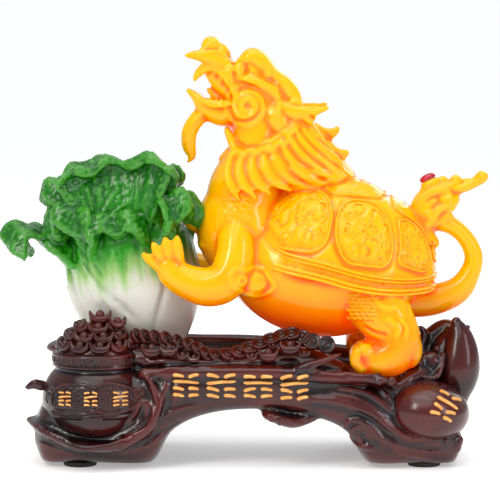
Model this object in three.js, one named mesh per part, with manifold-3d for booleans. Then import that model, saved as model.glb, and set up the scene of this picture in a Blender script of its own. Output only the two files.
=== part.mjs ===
// Dragon turtle ornament: an amber resin dragon turtle rearing against a green and white cabbage,
// on a dark stand with a treasure pot, coins, ingots and a gourd.
// Millimetres, +Z up. The front faces -Y and the dragon turtle looks towards -X.
import * as THREE from "three";
import { mergeVertices } from "three/addons/utils/BufferGeometryUtils.js";
import Module from "manifold-3d";

const wasm = await Module();
wasm.setup();

// Stand
const STAND_LEFT = -155; // ends of the stand, measured from the middle between the two figures
const STAND_RIGHT = 162;
const STAND_DEPTH = 130;
const STAND_TOP = 76; // floor of the shallow basin that carries the cabbage
const LEG_UNDERSIDE = 3.6; // underside of the casting above the table
const ARCH_LEFT = -62; // feet of the arch
const ARCH_RIGHT = 90;
const ARCH_HEIGHT = 41;
const BACK_RIM_RISE = 9; // the back edge of the basin above its floor
const GAP = 0.3; // clearance between pieces that only touch

// Rubber pads
const PAD_RADIUS = 13;
const PAD_LEFT = -121;
const PAD_RIGHT = 134;
const PAD_SPREAD_Y = 40;

// Treasure pot
const POT_X = -109;
const POT_Y = -37;
const POT_RADIUS = 40;
const POT_FOOT_Z = 22;
const POT_HEIGHT = 52; // from its foot to the collar
const COLLAR_RADIUS = 32;
const COLLAR_HEIGHT = 11;

// Coins and ingots
const COIN_RADIUS = 6.2;
const COIN_THICKNESS = 2.4;
const INGOT_LENGTH = 15;

// Gourd
const GOURD_X = 138;
const GOURD_Y = -42;
const GOURD_Z = 42;
const GOURD_RADIUS = 28;
const BULB_RADIUS = 16;
const BULB_HEIGHT = 54;

// Cabbage
const CABBAGE_X = -74;
const CABBAGE_Y = 16;
const CABBAGE_HEIGHT = 154;
const CABBAGE_LEAN = 9; // degrees towards -X

// Dragon turtle, posed in hundredths of its own length
const TURTLE_LENGTH = 250;
const TURTLE_X = 74;
const TURTLE_SEAT = 68; // top of the two rests under its hind feet
const HIND_FOOT_V = 17;
const GEM_LENGTH = 12.5;
const GEM_WIDTH = 9.5;
const GEM_HEIGHT = 4.2;

const DEG = Math.PI / 180;
const Y_AXIS = new THREE.Vector3(0, 1, 0);
const lerp = THREE.MathUtils.lerp;
const series = (count, at) => Array.from({ length: count }, (_, i) => at(i));
const around = (count, at) => series(count, (i) => at((2 * Math.PI * i) / count));

const middleOf = (ring) => ring.reduce((sum, p) => sum.add(p), new THREE.Vector3()).divideScalar(ring.length);

// The side of a body over rings of equal count: its corners, and the index of a ring's corner.
function wall(rings) {
  const sides = rings[0].length;
  const corner = (ring, side) => ring * sides + (side % sides);
  const faces = [];
  for (let ring = 0; ring + 1 < rings.length; ring++) {
    for (let side = 0; side < sides; side++) {
      const [a, b] = [corner(ring, side), corner(ring, side + 1)];
      const [c, d] = [corner(ring + 1, side + 1), corner(ring + 1, side)];
      faces.push(a, b, c, a, c, d);
    }
  }
  return { points: rings.flat(), faces, corner, sides, last: rings.length - 1 };
}

// A closed body over rings, closed on a pole at each end.
function skin(rings, poles = [middleOf(rings[0]), middleOf(rings.at(-1))]) {
  const { points, faces, corner, sides, last } = wall(rings);
  const [first, second] = [points.length, points.length + 1];
  for (let side = 0; side < sides; side++) {
    faces.push(first, corner(0, side + 1), corner(0, side));
    faces.push(second, corner(last, side), corner(last, side + 1));
  }
  return new THREE.BufferGeometry().setFromPoints([...points, ...poles]).setIndex(faces);
}

// A closed sheet: each ring runs along one face and back along the other, and a strip closes each end.
function sheet(rings) {
  const { points, faces, corner, sides, last } = wall(rings);
  for (let side = 0; side + 1 < sides / 2; side++) {
    const [a, b, c, d] = [side, side + 1, sides - 2 - side, sides - 1 - side];
    faces.push(corner(0, a), corner(0, c), corner(0, b), corner(0, a), corner(0, d), corner(0, c));
    faces.push(corner(last, a), corner(last, b), corner(last, c), corner(last, a), corner(last, c), corner(last, d));
  }
  return new THREE.BufferGeometry().setFromPoints(points).setIndex(faces);
}

// A closed three.js geometry as a solid, turned right side out.
function solid(geometry) {
  const bare = geometry.clone();
  bare.deleteAttribute("normal");
  bare.deleteAttribute("uv");
  const merged = mergeVertices(bare, 1e-4);
  const corners = merged.attributes.position;
  const faces = new Uint32Array(merged.index.array);
  const [a, b, c] = [new THREE.Vector3(), new THREE.Vector3(), new THREE.Vector3()];
  let volume = 0;
  for (let i = 0; i < faces.length; i += 3) {
    a.fromBufferAttribute(corners, faces[i]);
    b.fromBufferAttribute(corners, faces[i + 1]);
    c.fromBufferAttribute(corners, faces[i + 2]);
    volume += a.dot(b.cross(c));
  }
  if (volume < 0) {
    for (let i = 0; i < faces.length; i += 3) [faces[i + 1], faces[i + 2]] = [faces[i + 2], faces[i + 1]];
  }
  const mesh = new wasm.Mesh({ numProp: 3, vertProperties: new Float32Array(corners.array), triVerts: faces });
  return new wasm.Manifold(mesh);
}

const join = (geometries) => geometries.map(solid).reduce((whole, next) => whole.add(next));
const cut = (whole, geometries) => geometries.map(solid).reduce((left, next) => left.subtract(next), whole);

// A limb: a closed tube through stations [x, y, z, r, s], where r is its radius in the plane of the pose
// and s its radius along Y. Splines carry the centre and the radii, and a raised pole rounds each end.
function limb(stations, { sides = 6, spans = 4, blunt = 0.55, grow = 0 } = {}) {
  const spline = (points) => new THREE.CatmullRomCurve3(points, false, "catmullrom", 0.5);
  const centres = spline(stations.map(([x, y, z]) => new THREE.Vector3(x, y, z)));
  const radii = spline(stations.map(([, , , r, s = r]) => new THREE.Vector3(r + grow, s + grow, 0)));
  const ring = (t) => {
    const tangent = centres.getTangent(t);
    const side = Y_AXIS.clone().addScaledVector(tangent, -Y_AXIS.dot(tangent)).normalize();
    const up = side.clone().cross(tangent);
    const { x: r, y: s } = radii.getPoint(t);
    return around(sides, (angle) =>
      centres
        .getPoint(t)
        .addScaledVector(up, r * Math.cos(angle))
        .addScaledVector(side, s * Math.sin(angle)),
    );
  };
  const pole = (t, way) => {
    const { x: r, y: s } = radii.getPoint(t);
    return centres.getPoint(t).addScaledVector(centres.getTangent(t), way * blunt * Math.min(r, s));
  };
  return skin(
    series(spans + 1, (i) => ring(i / spans)),
    [pole(0, -1), pole(1, 1)],
  );
}

// An ellipsoid with radii [x, y, z], turned about the Y axis by tilt degrees.
function ball([x, y, z], [rx, ry, rz], { tilt = 0, wide = 7, high = 5, grow = 0 } = {}) {
  const form = new THREE.SphereGeometry(1, wide, high).rotateX(Math.PI / 2);
  form.scale(rx + grow, ry + grow, rz + grow);
  return form.rotateY(tilt * DEG).translate(x, y, z);
}

// A turned form about a vertical axis, from [radius, height] points that start and end on the axis.
function turned(profile, [x, y, z], sides) {
  const points = profile.map(([r, h]) => new THREE.Vector2(r, h));
  return new THREE.LatheGeometry(points, sides).rotateX(Math.PI / 2).translate(x, y, z);
}

function block([x0, y0, z0], [x1, y1, z1]) {
  const form = new THREE.BoxGeometry(x1 - x0, y1 - y0, z1 - z0);
  return form.translate((x0 + x1) / 2, (y0 + y1) / 2, (z0 + z1) / 2);
}

// Everything below a height, as a block to cut away.
const below = (z) => block([-400, -400, -400], [400, 400, z]);

// The outer skin of a union, without the pockets that its pieces have closed off between them.
const outerBody = (whole) => whole.decompose().reduce((best, next) => (next.volume() > best.volume() ? next : best));

// The stand

const HALF_DEPTH = STAND_DEPTH / 2;
const FRONT = -HALF_DEPTH;
const ARCH_MIDDLE = (ARCH_LEFT + ARCH_RIGHT) / 2;
const ARCH_QUARTER = (ARCH_RIGHT - ARCH_LEFT) / 4;

const LEG_LOW = LEG_UNDERSIDE - 4; // the legs' round underside, before it is cut flat

// Stations of the stand's trunk: x, underside, top, half depth.
const TRUNK = [
  [STAND_LEFT, 14, 34, HALF_DEPTH * 0.6],
  [STAND_LEFT + 8, LEG_LOW, 50, HALF_DEPTH * 0.82],
  [STAND_LEFT + 26, LEG_LOW, STAND_TOP - 4, HALF_DEPTH * 0.97],
  [POT_X, LEG_LOW, STAND_TOP, HALF_DEPTH],
  [ARCH_LEFT - 8, LEG_LOW, STAND_TOP, HALF_DEPTH],
  [ARCH_LEFT + 10, ARCH_HEIGHT * 0.62, STAND_TOP, HALF_DEPTH - 1],
  [ARCH_MIDDLE - ARCH_QUARTER, ARCH_HEIGHT * 0.93, STAND_TOP, HALF_DEPTH - 3],
  [ARCH_MIDDLE, ARCH_HEIGHT, STAND_TOP, HALF_DEPTH - 4],
  [ARCH_MIDDLE + ARCH_QUARTER, ARCH_HEIGHT * 0.86, STAND_TOP - 2, HALF_DEPTH - 3],
  [ARCH_RIGHT - 14, ARCH_HEIGHT * 0.6, TURTLE_SEAT, HALF_DEPTH - 1],
  [ARCH_RIGHT + 4, LEG_LOW, TURTLE_SEAT - 1, HALF_DEPTH],
  [STAND_RIGHT - 36, LEG_LOW, 52, HALF_DEPTH * 0.97],
  [STAND_RIGHT - 9, LEG_LOW, 33, HALF_DEPTH * 0.86],
  [STAND_RIGHT, 10, 24, HALF_DEPTH * 0.62],
];

// The trunk's section is a rounded rectangle: a superellipse of power 2 / ROUNDING.
const ROUNDING = 0.5;
function trunk() {
  const soft = (x) => Math.sign(x) * Math.abs(x) ** ROUNDING;
  return skin(
    TRUNK.map(([x, low, high, half]) =>
      around(10, (angle) => {
        const turn = angle + Math.PI / 10;
        const z = (low + high) / 2 + ((high - low) / 2) * soft(Math.sin(turn));
        return new THREE.Vector3(x, half * soft(Math.cos(turn)), z);
      }),
    ),
  );
}

// The raised lip round the back of the basin.
function backRim() {
  const z = STAND_TOP + BACK_RIM_RISE - 7;
  return limb(
    [
      [STAND_LEFT + 6, 0, z - 22, 8, 12],
      [STAND_LEFT + 18, HALF_DEPTH * 0.4, z + 2, 8, 12],
      [POT_X + 2, HALF_DEPTH - 10, z + 2, 8, 9],
      [ARCH_LEFT + 20, HALF_DEPTH - 8, z, 7, 8],
      [ARCH_MIDDLE, HALF_DEPTH - 9, z - 1, 7, 8],
      [ARCH_RIGHT - 10, HALF_DEPTH - 12, TURTLE_SEAT + 1, 8, 8],
      [ARCH_RIGHT + 30, HALF_DEPTH * 0.5, TURTLE_SEAT + 1, 9, 10],
      [GOURD_X + 2, 8, TURTLE_SEAT - 12, 11, 12],
    ],
    { sides: 5, spans: 7 },
  );
}

// The front lip of the basin, and the long fold that runs from it into the right leg.
function frontFolds() {
  const front = FRONT + 4;
  const fold = limb(
    [
      [ARCH_RIGHT - 38, front - 1, STAND_TOP - 14, 1.2, 3],
      [ARCH_RIGHT - 8, front - 2, TURTLE_SEAT - 15, 3.6, 4],
      [ARCH_RIGHT + 18, front - 2, TURTLE_SEAT - 33, 4.6, 5],
      [ARCH_RIGHT + 44, front - 1, 20, 4, 5],
      [STAND_RIGHT - 8, front + 12, 17, 2, 4],
    ],
    { sides: 4, spans: 5 },
  );
  const lip = limb(
    [
      [POT_X + POT_RADIUS - 4, front + 2, STAND_TOP - 5, 4.5, 5],
      [ARCH_MIDDLE, front + 1, STAND_TOP - 4, 4.5, 5],
      [ARCH_RIGHT - 30, front, STAND_TOP - 7, 4.5, 5],
      [ARCH_RIGHT + 14, front, TURTLE_SEAT - 2, 4.5, 5],
    ],
    { sides: 5, spans: 4 },
  );
  return [lip, fold];
}

// A curled leaf that cups the pot and reaches down to the left foot.
function potLeaf() {
  return limb(
    [
      [STAND_LEFT + 1, -22, 34, 5, 9],
      [STAND_LEFT + 10, FRONT + 14, 30, 5, 9],
      [STAND_LEFT + 28, FRONT - 2, 21, 4.5, 8],
      [POT_X + 14, FRONT - 4, 19, 4.5, 7],
      [POT_X + POT_RADIUS, FRONT - 1, 33, 4.5, 6],
      [POT_X + POT_RADIUS + 5, FRONT + 1, 52, 3.5, 5],
      [POT_X + POT_RADIUS - 2, FRONT + 1, 66, 2, 4],
    ],
    { sides: 4, spans: 7 },
  );
}

// An ingot: a boat-shaped hull with two raised ends.
function ingot([x, y, z], yaw) {
  const half = INGOT_LENGTH / 2;
  const hull = limb(
    [
      [-half, 0, half * 0.6, half * 0.16, half * 0.22],
      [0, 0, 0, half * 0.6, half * 0.56],
      [half, 0, half * 0.6, half * 0.16, half * 0.22],
    ],
    { sides: 4, spans: 2 },
  );
  return hull.rotateZ(yaw * DEG).translate(x, y, z);
}

// The pot: a squat turned body under a straight collar, heaped with tiers of ingots.
function pot() {
  const profile = [
    [0, 0],
    [POT_RADIUS * 0.6, 0],
    [POT_RADIUS * 0.9, POT_HEIGHT * 0.24],
    [POT_RADIUS, POT_HEIGHT * 0.5],
    [POT_RADIUS * 0.94, POT_HEIGHT * 0.74],
    [COLLAR_RADIUS - 2, POT_HEIGHT],
    [COLLAR_RADIUS, POT_HEIGHT + 1.5],
    [COLLAR_RADIUS, POT_HEIGHT + COLLAR_HEIGHT],
    [0, POT_HEIGHT + COLLAR_HEIGHT],
  ];
  const brim = POT_FOOT_Z + POT_HEIGHT + COLLAR_HEIGHT;
  const heap = skin(
    series(5, (tier) =>
      around(10, (angle) => {
        const bump = 1 + 0.1 * Math.cos(5 * angle + Math.PI * tier);
        const reach = COLLAR_RADIUS * [0.9, 0.94, 0.76, 0.5, 0.26][tier] * bump;
        return new THREE.Vector3(POT_X + reach * Math.cos(angle), POT_Y + reach * Math.sin(angle), brim - 1 + 7 * tier);
      }),
    ),
  );
  const tier = (count, reach, rise, first) =>
    series(count, (i) => {
      const angle = first + (360 * i) / count;
      const [dx, dy] = [reach * Math.cos(angle * DEG), reach * Math.sin(angle * DEG)];
      return ingot([POT_X + dx, POT_Y + dy, brim + rise], angle + 90);
    });
  return [
    turned(profile, [POT_X, POT_Y, POT_FOOT_Z], 12),
    heap,
    ...tier(3, COLLAR_RADIUS * 0.6, 10, -90),
    ingot([POT_X, POT_Y, brim + 24], 8),
    ball([POT_X - POT_RADIUS - 2, POT_Y, POT_FOOT_Z + POT_HEIGHT * 0.68], [7, 6, 4.5], { wide: 5, high: 3 }),
  ];
}

// A string of overlapping coins from the pot across the beam, on the bed of treasure that they lie on.
function coinString() {
  const path = new THREE.CatmullRomCurve3([
    new THREE.Vector3(POT_X + 35, -40, STAND_TOP + 12),
    new THREE.Vector3(ARCH_LEFT + 14, -46, STAND_TOP + 9),
    new THREE.Vector3(ARCH_MIDDLE - 34, -50, STAND_TOP + 3),
    new THREE.Vector3(ARCH_MIDDLE - 12, -46, STAND_TOP + 5),
    new THREE.Vector3(ARCH_MIDDLE + 12, -42, STAND_TOP + 11),
    new THREE.Vector3(ARCH_MIDDLE + 34, -40, STAND_TOP + 11),
    new THREE.Vector3(ARCH_RIGHT - 26, -44, STAND_TOP + 4),
  ]);
  const count = 11;
  const coins = skin(
    series(2 * count, (i) => {
      const t = Math.floor(i / 2) / (count - 1);
      const along = path.getTangentAt(t);
      const face = new THREE.Vector3(along.x, along.y - 0.55, along.z + 0.75).normalize();
      const side = Y_AXIS.clone().addScaledVector(face, -Y_AXIS.dot(face)).normalize();
      const up = side.clone().cross(face);
      const centre = path.getPointAt(t).addScaledVector(face, (i % 2 ? 1 : -1) * (COIN_THICKNESS / 2));
      return around(6, (angle) =>
        centre
          .clone()
          .addScaledVector(up, COIN_RADIUS * Math.cos(angle))
          .addScaledVector(side, COIN_RADIUS * Math.sin(angle)),
      );
    }),
  );
  const bed = limb(
    [
      [POT_X + 24, -34, STAND_TOP + 5, 9, 16],
      [ARCH_LEFT + 14, -40, STAND_TOP + 2, 9, 16],
      [ARCH_MIDDLE - 24, -42, STAND_TOP - 4, 9, 16],
      [ARCH_MIDDLE + 12, -36, STAND_TOP + 1, 12, 20],
      [ARCH_RIGHT - 40, -36, STAND_TOP, 12, 18],
      [ARCH_RIGHT - 18, -42, STAND_TOP - 6, 7, 12],
    ],
    { spans: 5 },
  );
  const loose = [
    [POT_X + 42, -54, 2, 10],
    [ARCH_MIDDLE + 10, -54, -1, 0],
  ].map(([x, y, rise, yaw]) => ingot([x, y, STAND_TOP + rise], yaw));
  return [bed, coins, ...loose];
}

// The gourd: a round lower bulb, a tall upper bulb with its stem, and curled leaves behind them.
function gourd() {
  const [x, y, z] = [GOURD_X + GOURD_RADIUS * 0.8, GOURD_Y + 20, GOURD_Z + 8];
  return [
    ball([GOURD_X, GOURD_Y, GOURD_Z], [GOURD_RADIUS + 1, GOURD_RADIUS, GOURD_RADIUS - 1], { wide: 10, high: 7 }),
    limb(
      [
        [x - 3, y, z, BULB_RADIUS * 0.9],
        [x, y, z + BULB_HEIGHT * 0.32, BULB_RADIUS],
        [x + 1, y, z + BULB_HEIGHT * 0.68, BULB_RADIUS * 0.66],
        [x, y, z + BULB_HEIGHT * 0.93, BULB_RADIUS * 0.3],
        [x, y, z + BULB_HEIGHT, BULB_RADIUS * 0.2],
      ],
      { sides: 7, spans: 5 },
    ),
    limb(
      [
        [GOURD_X - 24, GOURD_Y + 26, TURTLE_SEAT - 12, 8, 14],
        [GOURD_X - 10, GOURD_Y + 32, TURTLE_SEAT + 8, 9, 12],
        [GOURD_X + 4, GOURD_Y + 36, TURTLE_SEAT + 25, 7, 10],
        [GOURD_X + 17, GOURD_Y + 36, TURTLE_SEAT + 30, 7, 9],
        [GOURD_X + 26, GOURD_Y + 32, TURTLE_SEAT + 22, 5, 8],
      ],
      { sides: 5, spans: 5 },
    ),
    limb(
      [
        [GOURD_X + 1, GOURD_Y + 28, TURTLE_SEAT + 8, 4, 5],
        [GOURD_X - 6, GOURD_Y + 28, TURTLE_SEAT + 20, 3.4, 4],
        [GOURD_X - 5, GOURD_Y + 28, TURTLE_SEAT + 31, 3, 3.4],
      ],
      { sides: 4, spans: 2 },
    ),
  ];
}

// The small bracket that hangs under the arch.
function bracket() {
  const x = ARCH_MIDDLE + 16;
  return limb(
    [
      [x - 12, FRONT + 20, ARCH_HEIGHT - 1, 5, 18],
      [x + 6, FRONT + 20, ARCH_HEIGHT - 5, 6, 18],
      [x + 22, FRONT + 20, ARCH_HEIGHT - 3, 4, 14],
    ],
    { sides: 4, spans: 2 },
  );
}

const T = TURTLE_LENGTH / 100;
const turtleSpot = ([u, v, w]) => [TURTLE_X + u * T, v * T, TURTLE_SEAT + w * T];

// A flat rest in the trunk's top for each hind foot.
function footRests() {
  return [-1, 1].map((side) => {
    const [x, y] = turtleSpot([11, side * HIND_FOOT_V, 0]);
    return block([x - 25, y - 17, TURTLE_SEAT - 24], [x + 24, y + 17, TURTLE_SEAT]);
  });
}

// The casting is flat where the cabbage stands and where the pads are glued, and it is cut clear of
// both figures.
function stand(cabbageRoom, turtleRoom) {
  const rest = [
    [0, -24],
    [CABBAGE_HEIGHT * 0.21, -24],
    [CABBAGE_HEIGHT * 0.21, 0],
    [0, 0],
  ];
  const whole = join([
    trunk(),
    backRim(),
    ...frontFolds(),
    potLeaf(),
    ...coinString(),
    ...pot(),
    ...gourd(),
    ...footRests(),
    bracket(),
    turned(rest, [CABBAGE_X, CABBAGE_Y, STAND_TOP], 14),
  ]);
  return outerBody(cut(whole, [below(LEG_UNDERSIDE)]).subtract(cabbageRoom).subtract(turtleRoom));
}

function pads() {
  const spots = { left: PAD_LEFT, right: PAD_RIGHT };
  return Object.entries(spots).flatMap(([end, x]) =>
    [-1, 1].map((side) => {
      const disc = new THREE.CylinderGeometry(PAD_RADIUS, PAD_RADIUS - 1, LEG_UNDERSIDE, 14).rotateX(Math.PI / 2);
      disc.translate(x, side * PAD_SPREAD_Y, LEG_UNDERSIDE / 2);
      return [`foot_${side < 0 ? "front" : "back"}_${end}`, solid(disc)];
    }),
  );
}

// The cabbage

// Leaves: azimuth, reach of the tip, height of the crest, hang of the tip below it and half width.
// Lengths are shares of the cabbage's height and angles are in degrees.
const LEAVES = [
  { azimuth: -92, reach: 0.4, crest: 0.76, hang: 0.24, half: 24 },
  { azimuth: -142, reach: 0.44, crest: 0.82, hang: 0.2, half: 27 },
  { azimuth: 178, reach: 0.61, crest: 0.69, hang: 0.14, half: 22 },
  { azimuth: 135, reach: 0.44, crest: 0.86, hang: 0.14, half: 28 },
  { azimuth: 80, reach: 0.42, crest: 0.82, hang: 0.2, half: 30 },
  { azimuth: 25, reach: 0.38, crest: 0.86, hang: 0.14, half: 28 },
  { azimuth: -44, reach: 0.46, crest: 0.78, hang: 0.16, half: 28 },
  { azimuth: -112, reach: 0.28, crest: 0.95, hang: 0.12, half: 44 },
  { azimuth: -20, reach: 0.3, crest: 0.98, hang: 0.1, half: 48 },
  { azimuth: 130, reach: 0.28, crest: 1.0, hang: 0.08, half: 70 },
];
// Where the leaf's cross sections lie along it: at the stalk, half way, on the crest and at the tip.
const LEAF_STATIONS = [0.06, 0.5, 0.78, 1];
const LEAF_THICKNESS = 4.4;

// A leaf is a bent sheet: it follows the stalk, leans out to its crest and hangs over at the tip.
function leaf({ azimuth, reach, crest, hang, half }, grow) {
  const run = new THREE.SplineCurve([
    new THREE.Vector2(0.2, 0.12),
    new THREE.Vector2(Math.min(0.28, reach), 0.45),
    new THREE.Vector2(reach * 0.72, crest * 0.9),
    new THREE.Vector2(reach * 0.9, crest),
    new THREE.Vector2(reach, crest - hang),
  ]);
  const across = 4;
  const face = (side) =>
    LEAF_STATIONS.map((t) =>
      series(across, (j) => {
        const s = (2 * j) / (across - 1) - 1;
        const { x: rho, y: rise } = run.getPoint(t);
        const { x: outward, y: upward } = run.getTangent(t);
        const frill = 0.035 * t * t * Math.sin(2.2 * Math.PI * s + azimuth);
        const tuck = 0.1 * t * s * s;
        const offset = side * (LEAF_THICKNESS / 2 + grow);
        const angle = azimuth * DEG + s * (half * DEG * (0.8 + 0.3 * t) + (grow > 0 ? 0.02 : 0));
        const radius = (rho * (1 - tuck) + frill) * CABBAGE_HEIGHT + offset * upward;
        const z = (rise - 0.12 * t * t * s * s + frill) * CABBAGE_HEIGHT - offset * outward;
        return new THREE.Vector3(radius * Math.cos(angle), radius * Math.sin(angle), z);
      }),
    );
  const [outer, inner] = [face(1), face(-1)];
  return sheet(outer.map((row, i) => [...row, ...inner[i].slice().reverse()]));
}

function cabbage(grow = 0) {
  const h = CABBAGE_HEIGHT;
  const stalk = [
    [0, -0.08 * h],
    [0.19 * h, -0.08 * h],
    [0.21 * h, 0.02 * h],
    [0.275 * h, 0.16 * h],
    [0.322 * h, 0.32 * h],
    [0.315 * h, 0.46 * h],
    [0.29 * h, 0.66 * h],
    [0, 0.8 * h],
  ].map(([r, z]) => [r && r + grow, z]);
  const crown = ball([0, 0, 0.72 * h], [0.29 * h, 0.29 * h, 0.2 * h], { wide: 7, high: 4, grow });
  const forms = [turned(stalk, [0, 0, 0], 12), crown, ...LEAVES.map((form) => leaf(form, grow))];
  const placed = forms.map((form) => form.rotateY(-CABBAGE_LEAN * DEG).translate(CABBAGE_X, CABBAGE_Y, STAND_TOP));
  return outerBody(cut(join(placed), [below(STAND_TOP)]));
}

// The dragon turtle. Its points are [u, v, w] in hundredths of its length: u towards the tail,
// v away from the viewer, w up from the soles, with the origin under the middle of the shell.

const figureLimb = (stations, options) =>
  limb(
    stations.map(([u, v, w, r, s = r]) => [...turtleSpot([u, v, w]), r * T, s * T]),
    options,
  );
const figureBall = (spot, radii, options) =>
  ball(
    turtleSpot(spot),
    radii.map((r) => r * T),
    options,
  );
const mirrored = (stations) => stations.map(([u, v, w, r, s]) => [u, -v, w, r, s]);
const pair = (stations, options) => [figureLimb(stations, options), figureLimb(mirrored(stations), options)];

// The shell in its own tilted frame: half length, half width and height, the dip of its edge at the flanks
// and how much lower the edge hangs at each shoulder.
const SHELL = { u: 0, w: 34.4, tilt: 18, long: 29.1, wide: 23, high: 22, dip: 7.5, sag: 5 };

// Height of the dome over [x, y], as shares of the half length and half width.
function shellHeight(x, y) {
  const rho2 = Math.min(1, x * x + y * y);
  const shoulder = 2 * Math.max(0, -x) * Math.abs(y);
  const edge = rho2 > 0 ? -(SHELL.dip * y * y + SHELL.sag * shoulder) / (x * x + y * y) : 0;
  return edge * rho2 + (SHELL.high - edge * rho2) * (1 - rho2) ** 0.55;
}

// A point over the dome, lifted along the shell's own axis.
function shellSpot(x, y, lift) {
  const [a, c] = [x * SHELL.long, shellHeight(x, y) + lift];
  const [cos, sin] = [Math.cos(SHELL.tilt * DEG), Math.sin(SHELL.tilt * DEG)];
  const spot = turtleSpot([SHELL.u + a * cos + c * sin, y * SHELL.wide, SHELL.w - a * sin + c * cos]);
  return new THREE.Vector3(...spot);
}

function shell() {
  const ringAt = (rho, lift) => around(14, (angle) => shellSpot(rho * Math.cos(angle), rho * Math.sin(angle), lift));
  return skin([
    ringAt(0.4, 0),
    ringAt(0.72, 0),
    ringAt(0.93, 0),
    ringAt(1.03, 0.6),
    ringAt(1.03, -1.6),
    ringAt(0.85, -13),
  ]);
}

// Scutes are cells about these middles, one row down the back and one down each flank. The grid is in
// shares of the dome, and a cell ends half way to its neighbours or at the border band.
const SCUTES = [
  [-0.76, 0],
  [-0.2, 0],
  [0.38, 0],
  [0.86, 0],
  ...[-1, 1].flatMap((side) => [
    [-0.52, 0.8 * side],
    [0.1, 0.84 * side],
    [0.66, 0.72 * side],
  ]),
];
const SCUTE_GROOVE = 0.03;
const SCUTE_LIMIT = 0.88;
const SCUTE_RISE = 0.7;

function inScute([cx, cy], x, y) {
  if (Math.hypot(x, y) > SCUTE_LIMIT) return false;
  const own = Math.hypot(x - cx, y - cy) + 2 * SCUTE_GROOVE;
  return SCUTES.every(([sx, sy]) => (sx === cx && sy === cy) || Math.hypot(x - sx, y - sy) > own);
}

function scute(cell) {
  const inner = Math.min(1, 0.64 / Math.hypot(...cell));
  const [mx, my] = [cell[0] * inner, cell[1] * inner];
  const edge = around(6, (angle) => {
    let reach = 0;
    while (inScute(cell, mx + Math.cos(angle) * (reach + 0.01), my + Math.sin(angle) * (reach + 0.01))) reach += 0.01;
    return [Math.cos(angle) * reach, Math.sin(angle) * reach];
  });
  const ringAt = (share, lift) => edge.map(([dx, dy]) => shellSpot(mx + dx * share, my + dy * share, lift));
  return skin([ringAt(0.94, SCUTE_RISE), ringAt(1, -2.5)]);
}

function torso(grow = 0) {
  return [
    figureBall([-9.5, 0, 28.5], [26.5, 20.5, 18.8], { tilt: 15, wide: 10, high: 7, grow }),
    figureBall([-30.5, 0, 42], [13.2, 14.5, 16], { wide: 9, high: 6, grow }),
    figureBall([8, 0, 26.5], [15, 16, 11], { tilt: 12, wide: 8, high: 5, grow }),
    figureLimb(
      [
        [-30, 0, 42, 12, 13],
        [-29, 0, 54, 11, 11.5],
        [-27, 0, 64, 9.6, 10.5],
        [-25, 0, 76, 8, 8.4],
      ],
      { sides: 8, spans: 3, grow },
    ),
    figureLimb(
      [
        [-22, 0, 76, 5, 6.4],
        [-15.4, 0, 69.6, 7, 7.4],
        [-8.6, 0, 62.6, 7.6, 8.4],
        [-1, 0, 56, 6, 9],
      ],
      { sides: 6, spans: 2, grow },
    ),
  ];
}

// Ridged plates down the front of the neck.
function throatPlates() {
  return series(4, (i) => {
    const t = i / 3;
    const u = lerp(-35.6, -41, Math.sin((t * Math.PI) / 2));
    return figureBall([u, 0, lerp(60.5, 38, t)], [2.4, 7.2, 3.4], { wide: 5, high: 4 });
  });
}

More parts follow.
